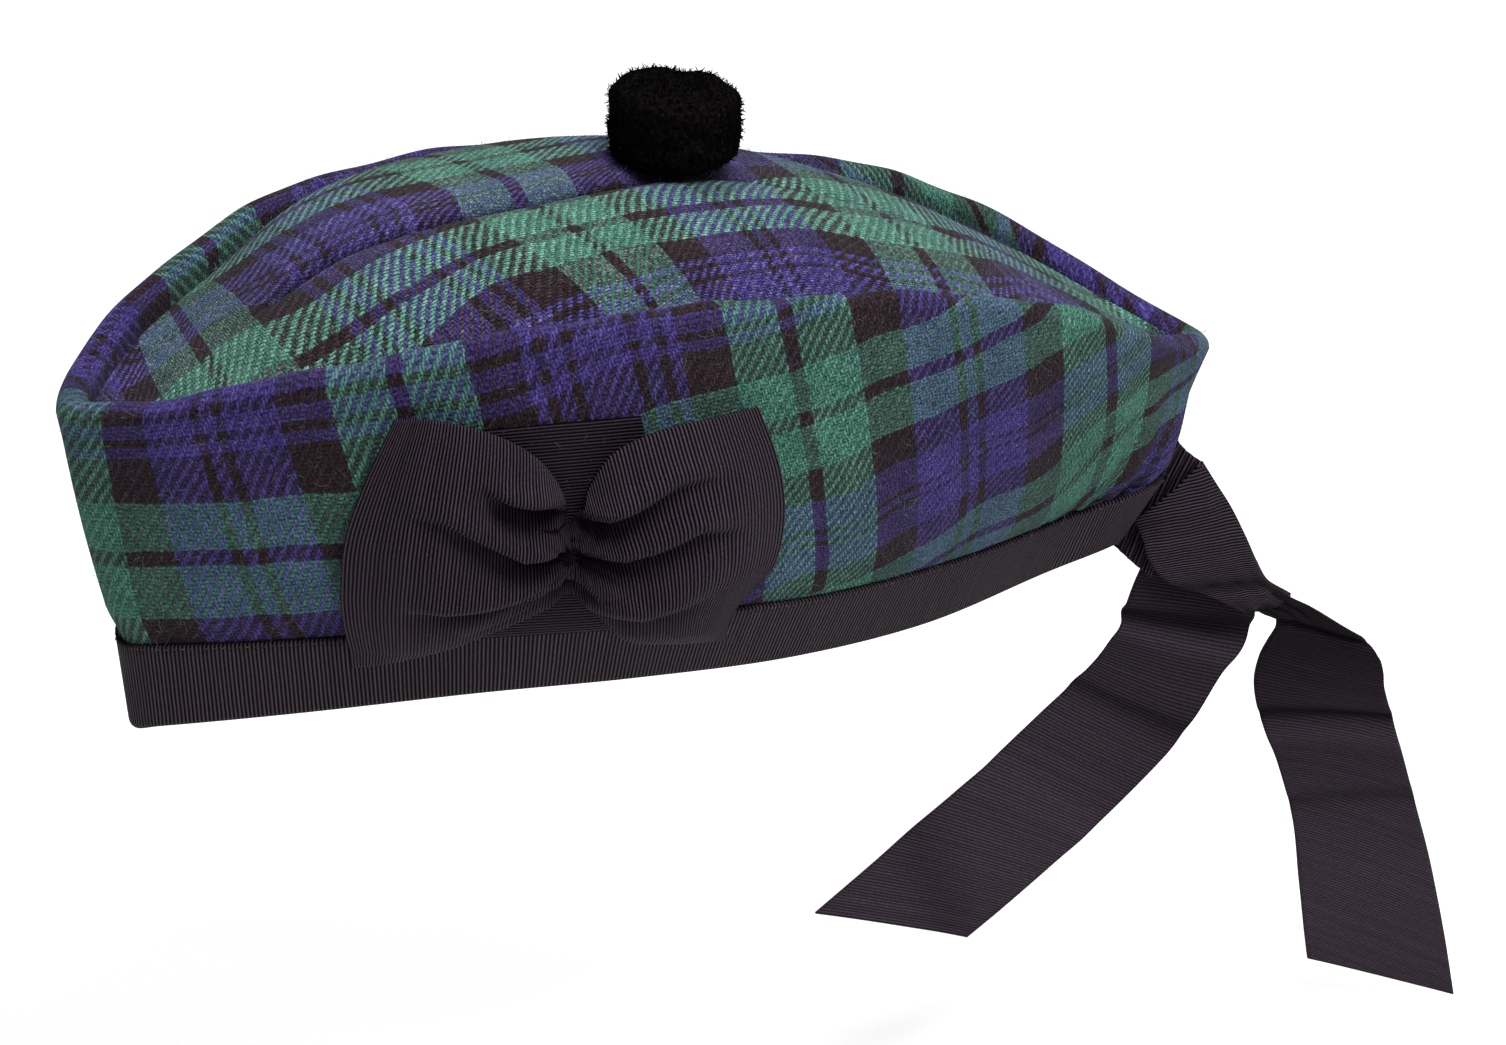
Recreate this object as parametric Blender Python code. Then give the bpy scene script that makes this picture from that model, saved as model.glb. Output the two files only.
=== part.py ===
"""A glengarry cap in tartan cloth, with a headband, a toorie, a bow and two ribbon tails.

Metres, +Z up. The front of the cap points to -X and the wearer's left side, with the bow, to -Y.
The origin is the middle of the head opening, level with the lower front corner of the headband.
"""

import math
from collections import namedtuple

import bmesh
import bpy
from mathutils import Matrix, Vector

# Cap body
CAP_LENGTH = 0.305  # front tip to back tip along the rim
RIM_HALF_WIDTH = 0.060  # half the width across the rim at its widest
RIM_HEIGHT = 0.117  # highest point of the rim over the origin
OPENING_LENGTH = 0.262  # length of the head opening at the headband's lower edge
OPENING_HALF_WIDTH = 0.0475  # half the width of the head opening
EDGE_ARCH = 0.0145  # how far the lower edge arches up at the sides
CROWN_HEIGHT = 0.131  # top of the crown's centre line over the origin
CLOTH = 0.0020  # wall of the tartan cloth with its backing
WALL_PUFF = 0.0075  # how far the side cloth puffs out over the headband
PUFF_SKEW = 0.8  # under 1 sets the fullest place below the middle of the side
TUCK_SHARE = 0.17  # share of the side over which the cloth comes out from behind the band
RIM_FOLD = 0.0080  # width across the folded rim
RIM_DEPTH = 0.0095  # from the rim down to the crown seam
CROWN_FULLNESS = 3.6  # how squarely the crown rises from its seams
CREASE_DEPTH = 0.0055  # the long crease along the crown
CREASE_HALF_WIDTH = 0.0075
GATHER_DEPTH = 0.0016  # ripples of the cloth drawn in at the back
GATHERS = 20  # ripples that would go along a whole side
GATHER_START = 0.78  # the station where they begin
GATHER_SPREAD = 0.125  # the stations over which they grow to full depth
GAP = 0.0003  # clearance between pieces that lie on each other

# Headband
BAND_HEIGHT = 0.0250
BAND_CLOTH = 0.0012  # one layer of the band's cloth
BAND_TURNING = 0.0090  # how far the band turns up inside

# Toorie
TOORIE_WIDTH = 0.0335
TOORIE_HEIGHT = 0.0260
TOORIE_STATION = 0.537
CLEFT_DEPTH = 0.0035  # how deep its two lobes part at the top
CLEFT_WIDTH = 0.3  # as a share of half its width
TOORIE_SQUARENESS = 3.0  # 2 would be a ball
TUFT_LENGTH = 0.0016  # how far each tuft of pile stands out
TUFT_TIP = 0.6  # size of a tuft's tip as a share of its root

# Bow and the ribbon behind it
RIBBON = 0.0010  # thickness of the grosgrain
BOW_WIDTH = 0.114
BOW_HEIGHT = 0.070
BOW_BULGE = 0.13  # how far its side edges bow out, as a share of half its width
BOW_PUFF = 0.0100  # how far the lobes stand off the side
BOW_FULLNESS = 0.6  # under 1 keeps the lobes full nearly to their edges
BOW_EDGE = 0.06  # how much of the lobes' height their upper and lower edges keep
BOW_STATION = 0.352
BOW_RISE = 0.0240  # the bow's middle over the top of the headband
BACKING_WIDTH = 0.048
BACKING_FOOT = -0.002  # its lower and upper end over the top of the headband
BACKING_TOP = 0.058

# Ribbons at the back
TAIL_WIDTH = 0.0345
FRONT_TAIL_LENGTH = 0.140
REAR_TAIL_LENGTH = 0.146
KNOT_LENGTH = 0.0495
ROOT_LENGTH = 0.016
FRONT_TAIL_CUT = 0.200  # the slant of the cut ends, as a share of the tail's length
REAR_TAIL_CUT = 0.155
RIBBON_CURL = 0.0012  # hollow across a hanging ribbon

# Mesh steps
SIDE_STATIONS = 34  # along one side of the cap
SLIT_STATIONS = 3  # how many of them the slit in the headband leaves out on each side
TIP_CROWDING = 0.6  # how much closer the stations lie at the tips
WALL_STEPS = 7  # up the side wall
WALL_CROWDING = 1.3  # over 1 sets those steps closer together near the headband
FOLD_STEPS = 4  # round the rim fold
CROWN_STEPS = 12  # across the crown
BOW_STEPS = (28, 14)
BACKING_STEPS = (6, 6)
RIBBON_STEP = 0.009  # along a ribbon
RIBBON_COLUMNS = 4

# The cap's sections, from the front tip to the back tip along the left side.
# along, wide and high are shares of half the length, the half width and the height.
# lean: degrees that the headband leans out; puff: share of WALL_PUFF;
# crown: centre line of the crown as a share of CROWN_HEIGHT; crease: share of CREASE_DEPTH.
Section = namedtuple(
    "Section",
    "station rim_along rim_wide rim_high foot_along foot_wide foot_high lean puff crown crease",
)
SECTIONS = (
    Section(0.000, -0.974, 0.00, 0.786, -1.027, 0.00, 0.04, 5, 0.10, 0.60, 0.0),
    Section(0.040, -0.925, 0.26, 0.814, -0.985, 0.17, 0.22, 9, 0.15, 0.62, 0.1),
    Section(0.130, -0.780, 0.59, 0.885, -0.757, 0.53, 0.62, 16, 0.30, 0.72, 0.5),
    Section(0.270, -0.512, 0.91, 0.974, -0.454, 0.88, 1.00, 21, 0.45, 0.95, 1.0),
    Section(0.410, -0.201, 1.00, 1.000, -0.141, 1.00, 0.93, 25, 0.60, 1.00, 0.9),
    Section(0.555, 0.115, 0.92, 0.957, 0.187, 0.88, 0.55, 28, 0.90, 0.97, 0.3),
    Section(0.695, 0.433, 0.86, 0.884, 0.515, 0.59, 0.17, 26, 1.00, 0.83, 0.0),
    Section(0.835, 0.718, 0.735, 0.750, 0.817, 0.30, 0.19, 28, 0.80, 0.64, 0.0),
    Section(0.945, 0.940, 0.35, 0.570, 0.975, 0.21, 0.31, 30, 0.20, 0.47, 0.0),
    Section(1.000, 1.040, 0.00, 0.502, 1.025, 0.00, 0.05, 28, 0.00, 0.39, 0.0),
)
MIRRORED = ("rim_wide", "foot_wide")

# Upper and lower edge of the bow, left to right, as shares of half its width and height.
# stand: how far the middle of that column stands out, as a share of BOW_PUFF.
BowColumn = namedtuple("BowColumn", "place top_along top_high low_along low_high stand")
BOW_COLUMNS = (
    BowColumn(0.00, -0.60, 1.14, -0.97, -0.88, 0.20),
    BowColumn(0.14, -0.44, 1.13, -0.76, -0.79, 0.75),
    BowColumn(0.28, -0.24, 1.01, -0.52, -0.66, 1.00),
    BowColumn(0.38, -0.08, 0.81, -0.30, -0.53, 0.95),
    BowColumn(0.45, 0.00, 0.56, -0.13, -0.42, 0.70),
    BowColumn(0.50, 0.02, 0.26, -0.03, -0.31, 0.35),
    BowColumn(0.55, 0.11, 0.50, 0.06, -0.52, 0.70),
    BowColumn(0.63, 0.24, 0.76, 0.18, -0.72, 0.95),
    BowColumn(0.75, 0.46, 0.90, 0.35, -0.81, 1.00),
    BowColumn(0.88, 0.72, 0.95, 0.50, -0.86, 0.75),
    BowColumn(1.00, 0.94, 0.98, 0.60, -0.89, 0.20),
)

# Hollows of the bow between two places, as shares of half its width and height.
# depth is a share of BOW_PUFF and width a share of half the bow's height.
BowFold = namedtuple("BowFold", "from_along from_high to_along to_high depth width")
BOW_FOLDS = (
    BowFold(0.00, 0.38, -0.32, 0.47, 0.55, 0.13),
    BowFold(0.02, -0.02, -0.22, -0.06, 0.65, 0.13),
    BowFold(-0.22, -0.06, -0.60, 0.30, 0.35, 0.14),
    BowFold(-0.03, -0.28, -0.60, -0.42, 0.45, 0.14),
    BowFold(0.00, 0.24, 0.24, 0.21, 0.60, 0.13),
    BowFold(0.24, 0.21, 0.72, 0.54, 0.40, 0.15),
    BowFold(0.06, -0.10, 0.45, -0.10, 0.60, 0.13),
    BowFold(0.45, -0.10, 0.88, 0.08, 0.35, 0.14),
    BowFold(0.06, -0.45, 0.20, -0.62, 0.45, 0.13),
)

# Middle line of each ribbon, as shares of its length from the middle of the slit.
# tilt: degrees that its face leans up; wide: share of TAIL_WIDTH.
RibbonRow = namedtuple("RibbonRow", "place along out high tilt wide")
ROOT_ROWS = (
    RibbonRow(0.0, 0.185, 0.04, 0.24, 0, 0.96),
    RibbonRow(0.5, 0.430, 0.05, 0.08, 0, 0.90),
    RibbonRow(1.0, 0.670, 0.06, -0.14, 0, 0.84),
)
KNOT_ROWS = (
    RibbonRow(0.00, 0.166, 0.085, 0.040, -6, 0.67),
    RibbonRow(0.31, 0.293, 0.105, -0.240, -4, 0.77),
    RibbonRow(0.65, 0.495, 0.120, -0.510, 2, 0.66),
    RibbonRow(1.00, 0.736, 0.100, -0.765, 10, 0.32),
)
FRONT_TAIL_ROWS = (
    RibbonRow(0.00, 0.129, 0.006, -0.161, 0, 0.85),
    RibbonRow(0.07, 0.107, 0.008, -0.224, 2, 1.02),
    RibbonRow(0.16, 0.072, 0.014, -0.306, 7, 1.00),
    RibbonRow(0.27, 0.006, 0.024, -0.399, 15, 0.95),
    RibbonRow(0.42, -0.111, 0.026, -0.498, 15, 0.98),
    RibbonRow(0.60, -0.246, 0.022, -0.606, 15, 0.98),
    RibbonRow(1.00, -0.573, 0.010, -0.846, 15, 0.98),
)
REAR_TAIL_ROWS = (
    RibbonRow(0.00, 0.266, 0.024, -0.242, 10, 0.28),
    RibbonRow(0.08, 0.319, 0.020, -0.308, 18, 0.42),
    RibbonRow(0.16, 0.366, 0.014, -0.370, 26, 0.80),
    RibbonRow(0.26, 0.386, 0.012, -0.466, 28, 1.00),
    RibbonRow(0.39, 0.423, 0.012, -0.583, 28, 1.00),
    RibbonRow(0.67, 0.499, 0.010, -0.856, 28, 1.00),
    RibbonRow(1.00, 0.562, 0.000, -1.185, 28, 1.00),
)


def hermite(knots, values, at):
    """A smooth curve through the values at their knots, read at one place."""
    last = len(knots) - 1
    span = 0
    while span < last - 1 and at > knots[span + 1]:
        span += 1

    def slope(i):
        low, high = max(i - 1, 0), min(i + 1, last)
        return (values[high] - values[low]) / (knots[high] - knots[low])

    width = knots[span + 1] - knots[span]
    share = (at - knots[span]) / width
    rise = values[span + 1] - values[span]
    start, end = slope(span) * width, slope(span + 1) * width
    square = 3 * rise - 2 * start - end
    cubic = start + end - 2 * rise
    return values[span] + share * (start + share * (square + share * cubic))


def read_row(rows, name, at):
    """One column of a table, read smoothly at any place along its first column."""
    return hermite([row[0] for row in rows], [getattr(row, name) for row in rows], at)


def section(name, station):
    """One column of the sections, with the cap's far side as their mirror past both tips."""
    sign = -1 if name in MIRRORED else 1
    first, last = SECTIONS[0][0], SECTIONS[-1][0]
    knots = [2 * first - SECTIONS[1][0]] + [row[0] for row in SECTIONS]
    knots.append(2 * last - SECTIONS[-2][0])
    column = [getattr(row, name) for row in SECTIONS]
    values = [sign * column[1]] + column + [sign * column[-2]]
    return hermite(knots, values, station)


def clamp(value, low=0.0, high=1.0):
    return min(max(value, low), high)


def ease(value):
    """From 0 to 1 with no corner at either end."""
    share = clamp(value)
    return share * share * (3 - 2 * share)


def rim_at(station):
    """Where the rim's outer face would meet its top, on the left side."""
    return Vector(
        (
            section("rim_along", station) * CAP_LENGTH / 2,
            -section("rim_wide", station) * RIM_HALF_WIDTH,
            section("rim_high", station) * RIM_HEIGHT,
        )
    )


def foot_at(station):
    """The headband's lower edge on the left side."""
    return Vector(
        (
            section("foot_along", station) * OPENING_LENGTH / 2,
            -section("foot_wide", station) * OPENING_HALF_WIDTH,
            section("foot_high", station) * EDGE_ARCH,
        )
    )


def outward(curve, station):
    """The level direction straight out of a curve at a station."""
    step = 0.004
    run = curve(station + step) - curve(station - step)
    return Vector((run.y, -run.x, 0)).normalized()


def band_axes(station):
    """Up the slanting headband, and out of its face."""
    out = outward(foot_at, station)
    lean = math.radians(section("lean", station))
    up = Vector((0, 0, 1))
    climb = up * math.cos(lean) + out * math.sin(lean)
    face = out * math.cos(lean) - up * math.sin(lean)
    return climb, face


def side_point(station, rise):
    """The cap's smooth outer side: rise is measured up from the top of the headband."""
    foot = foot_at(station)
    climb, _ = band_axes(station)
    band_top = foot + climb * BAND_HEIGHT
    if rise <= 0:
        return band_top + climb * rise
    rim = rim_at(station) - Vector((0, 0, RIM_FOLD / 2))
    share = rise / (rim - band_top).length
    puff = section("puff", station) * WALL_PUFF * math.sin(math.pi * clamp(share) ** PUFF_SKEW)
    return band_top.lerp(rim, share) + outward(rim_at, station) * puff


def side_height(station):
    """From the top of the headband up to where the rim starts to fold."""
    band_top = foot_at(station) + band_axes(station)[0] * BAND_HEIGHT
    return (rim_at(station) - Vector((0, 0, RIM_FOLD / 2)) - band_top).length


def side_face(station, rise):
    """The direction out of the smooth side."""
    step = 0.002
    run = side_point(station + step, rise) - side_point(station - step, rise)
    climb = side_point(station, rise + step) - side_point(station, rise - step)
    return run.cross(climb).normalized()


def station_along(start, rise, distance):
    """The station reached by going a distance along the side at one height."""
    step = math.copysign(0.002, distance)
    left, station = abs(distance), start
    here = side_point(station, rise)
    while True:
        there = side_point(station + step, rise)
        piece = (there - here).length
        if piece >= left:
            return station + step * left / piece
        left -= piece
        station += step
        here = there


def clear_scene():
    for old in list(bpy.data.objects):
        bpy.data.objects.remove(old, do_unlink=True)


def material(name, colour, roughness):
    made = bpy.data.materials.new(name)
    made.use_nodes = True
    shader = made.node_tree.nodes["Principled BSDF"]
    shader.inputs["Base Color"].default_value = (*colour, 1)
    shader.inputs["Roughness"].default_value = roughness
    shader.inputs["Metallic"].default_value = 0
    return made


def grid_faces(columns, rows, ring=False):
    """Triangles of a grid whose points are listed column by column."""
    faces = []
    for i in range(columns if ring else columns - 1):
        j = (i + 1) % columns
        for k in range(rows - 1):
            near, far = i * rows + k, j * rows + k
            faces += [(near, far, far + 1), (near, far + 1, near + 1)]
    return faces


def add_object(name, points, faces, finish):
    mesh = bpy.data.meshes.new(name)
    mesh.from_pydata([tuple(point) for point in points], [], faces)
    mesh.materials.append(finish)
    mesh.shade_smooth()
    made = bpy.data.objects.new(name, mesh)
    bpy.context.scene.collection.objects.link(made)
    return made


def add_closed(name, fronts, backs, faces, finish):
    """A sheet given by its front and its back points, closed round its edge."""
    count = len(fronts)
    sides = {(face[i - 1], face[i]) for face in faces for i in range(len(face))}
    shell = list(faces)
    shell += [tuple(count + i for i in reversed(face)) for face in faces]
    shell += [(b, a, count + a, count + b) for a, b in sides if (b, a) not in sides]
    return add_object(name, fronts + backs, shell, finish)


def thicken(sheet, wall, offset):
    """Give a sheet its wall. Offset -1 grows it behind its faces, 0 to both sides."""
    solid = sheet.modifiers.new("wall", "SOLIDIFY")
    solid.thickness = wall
    solid.offset = offset
    solid.use_even_offset = True


def side_stations():
    """Stations along one side, closer together at the tips, where the cloth turns."""
    shares = [i / SIDE_STATIONS for i in range(SIDE_STATIONS + 1)]
    return [share - TIP_CROWDING * math.sin(math.tau * share) / math.tau for share in shares]


def round_stations():
    """Stations once round the cap with their side: -1 left, 1 right, from the front tip."""
    stations = side_stations()
    left = [(station, -1) for station in stations]
    right = [(station, 1) for station in reversed(stations[1:-1])]
    return left + right


def on_side(point, side):
    return Vector((point.x, -point.y * side, point.z))


def wall_path(station):
    """The side cloth's outer face at one station, from inside the band to the crown seam."""
    climb, face = band_axes(station)
    foot = foot_at(station)
    inset = BAND_CLOTH + GAP
    path = [foot + climb * rise - face * inset for rise in (inset, BAND_HEIGHT + GAP)]
    height = side_height(station)
    out = outward(rim_at, station)
    for i in range(1, WALL_STEPS + 1):
        share = (i / WALL_STEPS) ** WALL_CROWDING
        tucked = inset * (1 - ease(share / TUCK_SHARE))
        drawn = GATHER_DEPTH * ease((station - GATHER_START) / GATHER_SPREAD) * (1 - share)
        ripple = drawn * math.cos(math.tau * GATHERS * station)
        point = side_point(station, height * share)
        path.append(point - out * (tucked + drawn - ripple))
    radius = RIM_FOLD / 2
    centre = rim_at(station) - Vector((0, 0, radius)) - out * radius
    for i in range(1, FOLD_STEPS + 1):
        angle = math.pi * i / FOLD_STEPS
        path.append(centre + out * radius * math.cos(angle) + Vector((0, 0, radius * math.sin(angle))))
    path.append(rim_at(station) - out * RIM_FOLD - Vector((0, 0, RIM_DEPTH)))
    return path


def make_side_wall(finish):
    points = []
    for station, side in round_stations():
        points += [on_side(point, side) for point in wall_path(station)]
    steps = len(wall_path(0))
    faces = grid_faces(2 * SIDE_STATIONS, steps, ring=True)
    wall = add_object("side_wall", points, faces, finish)
    thicken(wall, CLOTH, -1)
    return wall


def band_path(station):
    """The band's outline at one station: down its face and up again inside the cloth."""
    climb, face = band_axes(station)
    foot = foot_at(station)
    wall, across = BAND_CLOTH, 2 * BAND_CLOTH + CLOTH + 2 * GAP
    outline = ((0, BAND_HEIGHT), (0, BAND_HEIGHT / 2), (0, 0), (across, 0), (across, BAND_TURNING))
    outline += ((across - wall, BAND_TURNING), (across - wall, wall), (wall, wall))
    outline += ((wall, BAND_HEIGHT / 2), (wall, BAND_HEIGHT))
    return [foot + climb * rise - face * back for back, rise in outline]


def make_headband(finish):
    """The band from one side of the slit at the back, round the front, to the other."""
    stations = side_stations()[:-SLIT_STATIONS]
    round_front = [(station, -1) for station in reversed(stations)]
    round_front += [(station, 1) for station in stations[1:]]
    points = []
    for station, side in round_front:
        points += [on_side(point, side) for point in band_path(station)]
    rows = len(band_path(0))
    columns = len(round_front)
    faces = grid_faces(columns, rows)
    for i in range(columns - 1):
        here, there = i * rows + rows - 1, (i + 1) * rows + rows - 1
        faces += [(here, there, there + 1 - rows), (here, there + 1 - rows, here + 1 - rows)]
    for column, turn in ((0, 1), (columns - 1, -1)):
        ends = [column * rows + k for k in range(rows)]
        strip = [(ends[k], ends[k + 1], ends[-k - 2], ends[-k - 1]) for k in range(rows // 2 - 1)]
        faces += [face[::turn] for face in strip]
    return add_object("headband", points, faces, finish)


def crown_edge(station):
    """Where the crown meets the inner leg of the rim fold, on the left side."""
    out = outward(rim_at, station)
    edge = rim_at(station) - out * (RIM_FOLD + GAP)
    edge.z -= RIM_DEPTH - CLOTH
    edge.y = min(edge.y, 0)
    return edge


def crown_point(station, across):
    """The crown's upper face; across runs from -1 at the left seam to 1 at the right."""
    edge = crown_edge(station)
    middle = section("crown", station) * CROWN_HEIGHT
    y = -edge.y * across
    rise = (middle - edge.z) * (1 - abs(across) ** CROWN_FULLNESS)
    crease = section("crease", station) * CREASE_DEPTH * math.exp(-((y / CREASE_HALF_WIDTH) ** 2))
    return Vector((edge.x, y, edge.z + rise - crease))


def make_crown(finish):
    stations = side_stations()[1:-1]
    columns = len(stations)
    points = []
    for station in stations:
        for k in range(CROWN_STEPS + 1):
            points.append(crown_point(station, 2 * k / CROWN_STEPS - 1))
    faces = grid_faces(columns, CROWN_STEPS + 1)
    front, back = len(points), len(points) + 1
    points += [crown_edge(0), crown_edge(1)]
    last = (columns - 1) * (CROWN_STEPS + 1)
    for k in range(CROWN_STEPS):
        faces.append((front, k, k + 1))
        faces.append((back, last + k + 1, last + k))
    undersides = [point - Vector((0, 0, CLOTH)) for point in points]
    return add_closed("crown", points, undersides, faces, finish)


def crown_height(x, y):
    """The crown's upper face under a place seen from above."""
    low, high = 0.0, 1.0
    for _ in range(30):
        middle = (low + high) / 2
        if crown_edge(middle).x < x:
            low = middle
        else:
            high = middle
    across = y / max(-crown_edge(low).y, CLOTH)
    return crown_point(low, clamp(across, -1, 1)).z


def make_toorie(finish):
    """A squat head of pile in two lobes, with each face of it drawn out as a tuft."""
    shape = bmesh.new()
    bmesh.ops.create_icosphere(shape, subdivisions=2, radius=1)
    for face in list(shape.faces):
        tip = bmesh.ops.extrude_discrete_faces(shape, faces=[face])["faces"][0]
        centre = tip.calc_center_median()
        for corner in tip.verts:
            corner.co = centre.lerp(corner.co, TUFT_TIP) * (1 + 2 * TUFT_LENGTH / TOORIE_WIDTH)
    for corner in shape.verts:
        square = sum(abs(part) ** TOORIE_SQUARENESS for part in corner.co) ** (1 / TOORIE_SQUARENESS)
        x, y, z = corner.co * (corner.co.length / square)
        cleft = CLEFT_DEPTH * max(z, 0) * math.exp(-((x / CLEFT_WIDTH) ** 2))
        reach = TOORIE_WIDTH / 2 - TUFT_LENGTH
        corner.co = Vector((x * reach, y * reach, z * (TOORIE_HEIGHT / 2 - TUFT_LENGTH) - cleft))
    seat = crown_point(TOORIE_STATION, 0)
    lift = max(
        crown_height(seat.x + corner.co.x, corner.co.y) - corner.co.z for corner in shape.verts
    )
    place = Vector((seat.x, 0, lift + GAP))
    bmesh.ops.translate(shape, verts=shape.verts, vec=place)
    mesh = bpy.data.meshes.new("toorie")
    shape.to_mesh(mesh)
    shape.free()
    mesh.materials.append(finish)
    made = bpy.data.objects.new("toorie", mesh)
    bpy.context.scene.collection.objects.link(made)
    return made


def side_place(along, rise, stand):
    """A point that stands off the cap's side, at a distance from the bow's middle."""
    station = station_along(BOW_STATION, rise, along) if along else BOW_STATION
    return side_point(station, rise) + side_face(station, rise) * stand


def make_backing(finish):
    columns, rows = BACKING_STEPS[0] + 1, BACKING_STEPS[1] + 2
    rises = [BACKING_FOOT]
    rises += [BACKING_TOP * k / BACKING_STEPS[1] for k in range(BACKING_STEPS[1] + 1)]
    points = []
    for i in range(columns):
        along = (i / BACKING_STEPS[0] - 0.5) * BACKING_WIDTH
        points += [side_place(along, rise, GAP + RIBBON) for rise in rises]
    backing = add_object("bow_backing", points, grid_faces(columns, rows), finish)
    thicken(backing, RIBBON, -1)
    return backing


def bow_fold(along, high):
    """How deep the folds press in at a place of the bow, as a share of BOW_PUFF."""
    pressed = 0.0
    place = Vector((along * BOW_WIDTH, high * BOW_HEIGHT))
    for fold in BOW_FOLDS:
        start = Vector((fold.from_along * BOW_WIDTH, fold.from_high * BOW_HEIGHT))
        way = Vector((fold.to_along * BOW_WIDTH, fold.to_high * BOW_HEIGHT)) - start
        share = (place - start).dot(way) / way.length_squared
        off = (place - start - way * clamp(share)).length / BOW_HEIGHT
        pressed = max(pressed, fold.depth * math.exp(-((off / fold.width) ** 2)))
    return pressed


def bow_place(place, climb):
    """A place of the bow's sheet as along and high shares, and its stand-off."""
    top = (read_row(BOW_COLUMNS, "top_along", place), read_row(BOW_COLUMNS, "top_high", place))
    low = (read_row(BOW_COLUMNS, "low_along", place), read_row(BOW_COLUMNS, "low_high", place))
    along = low[0] + (top[0] - low[0]) * climb
    high = low[1] + (top[1] - low[1]) * climb
    edge = (2 * place - 1) ** 3
    along += BOW_BULGE * edge * math.sin(math.pi * climb)
    crest = math.sin(math.pi * (BOW_EDGE + (1 - 2 * BOW_EDGE) * climb)) ** BOW_FULLNESS
    stand = read_row(BOW_COLUMNS, "stand", place) * crest - bow_fold(along, high)
    return along, high, max(stand, 0)


def make_bow(finish):
    columns, rows = BOW_STEPS[0] + 1, BOW_STEPS[1] + 1
    fronts, backs = [], []
    for i in range(columns):
        for k in range(rows):
            along, high, stand = bow_place(i / BOW_STEPS[0], k / BOW_STEPS[1])
            spot = (along * BOW_WIDTH / 2, BOW_RISE + high * BOW_HEIGHT / 2)
            back = 2 * GAP + RIBBON + stand * BOW_PUFF
            backs.append(side_place(*spot, back))
            fronts.append(side_place(*spot, back + RIBBON))
    return add_closed("bow", fronts, backs, grid_faces(columns, rows), finish)


def make_ribbon(name, rows, start, length, cut, finish):
    """A ribbon along its table's middle line, thickened to both sides."""
    def middle(place):
        shares = (read_row(rows, column, place) for column in ("along", "out", "high"))
        along, out, high = shares
        return start + Vector((along, -out, high)) * length

    steps, across = max(4, round(length / RIBBON_STEP)), RIBBON_COLUMNS
    points = []
    for i in range(steps + 1):
        for k in range(across + 1):
            offset = k / across - 0.5
            place = i / steps * (1 + cut * offset) / (1 + abs(cut) / 2)
            run = (middle(place + 0.01) - middle(place - 0.01)).normalized()
            level = run.cross(Vector((0, -1, 0))).normalized()
            tilt = math.radians(read_row(rows, "tilt", place))
            width_way = Matrix.Rotation(tilt, 3, run) @ level
            face = run.cross(width_way)
            wide = read_row(rows, "wide", place) * TAIL_WIDTH
            curl = RIBBON_CURL * (2 * offset) ** 2
            points.append(middle(place) + width_way * wide * offset + face * curl)
    ribbon = add_object(name, points, grid_faces(steps + 1, across + 1), finish)
    thicken(ribbon, RIBBON, 0)
    return ribbon


def make_back_ribbons(finish):
    """The ribbons that come out of the slit at the back of the headband."""
    slit = foot_at(1) + band_axes(1)[0] * BAND_HEIGHT / 2
    make_ribbon("ribbon_root", ROOT_ROWS, slit, ROOT_LENGTH, 0, finish)
    make_ribbon("ribbon_knot", KNOT_ROWS, slit, KNOT_LENGTH, 0, finish)
    make_ribbon("ribbon_tail_front", FRONT_TAIL_ROWS, slit, FRONT_TAIL_LENGTH, FRONT_TAIL_CUT, finish)
    make_ribbon("ribbon_tail_rear", REAR_TAIL_ROWS, slit, REAR_TAIL_LENGTH, -REAR_TAIL_CUT, finish)


def main():
    clear_scene()
    tartan = material("tartan wool", (0.030, 0.060, 0.070), 0.95)
    band_cloth = material("band cloth", (0.030, 0.026, 0.030), 0.80)
    grosgrain = material("black grosgrain", (0.022, 0.018, 0.022), 0.65)
    pile = material("black pile", (0.008, 0.008, 0.009), 1.0)
    make_side_wall(tartan)
    make_crown(tartan)
    make_headband(band_cloth)
    make_toorie(pile)
    make_backing(grosgrain)
    make_bow(grosgrain)
    make_back_ribbons(grosgrain)


main()
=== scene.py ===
"""A tartan glengarry cap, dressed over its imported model. Metres, +Z up, front at -X, bow at -Y."""
import math
from collections import namedtuple

import bmesh
import bpy
import numpy as np
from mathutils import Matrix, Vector


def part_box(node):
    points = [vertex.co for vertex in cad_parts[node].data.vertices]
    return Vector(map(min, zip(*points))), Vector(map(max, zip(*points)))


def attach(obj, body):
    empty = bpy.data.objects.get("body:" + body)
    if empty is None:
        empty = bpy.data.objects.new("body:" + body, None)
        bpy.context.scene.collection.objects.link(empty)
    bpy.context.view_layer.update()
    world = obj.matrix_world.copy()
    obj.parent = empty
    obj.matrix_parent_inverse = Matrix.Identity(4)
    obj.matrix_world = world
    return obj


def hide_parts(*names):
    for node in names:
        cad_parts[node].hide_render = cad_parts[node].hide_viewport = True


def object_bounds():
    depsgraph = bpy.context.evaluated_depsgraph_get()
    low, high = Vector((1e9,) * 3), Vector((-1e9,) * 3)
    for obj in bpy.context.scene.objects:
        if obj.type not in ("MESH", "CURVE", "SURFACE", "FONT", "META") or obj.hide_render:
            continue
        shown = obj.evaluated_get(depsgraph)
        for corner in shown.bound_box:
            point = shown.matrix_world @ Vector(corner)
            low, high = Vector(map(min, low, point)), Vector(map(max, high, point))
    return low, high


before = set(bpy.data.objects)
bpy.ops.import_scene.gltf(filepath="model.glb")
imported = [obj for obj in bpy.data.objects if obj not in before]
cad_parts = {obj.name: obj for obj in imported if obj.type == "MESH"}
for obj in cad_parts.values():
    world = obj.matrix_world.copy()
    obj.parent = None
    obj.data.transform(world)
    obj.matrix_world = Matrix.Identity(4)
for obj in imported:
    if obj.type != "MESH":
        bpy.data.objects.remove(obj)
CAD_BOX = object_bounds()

# Cap body
CAP_LENGTH = 0.305
RIM_HALF_WIDTH = 0.060
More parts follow.
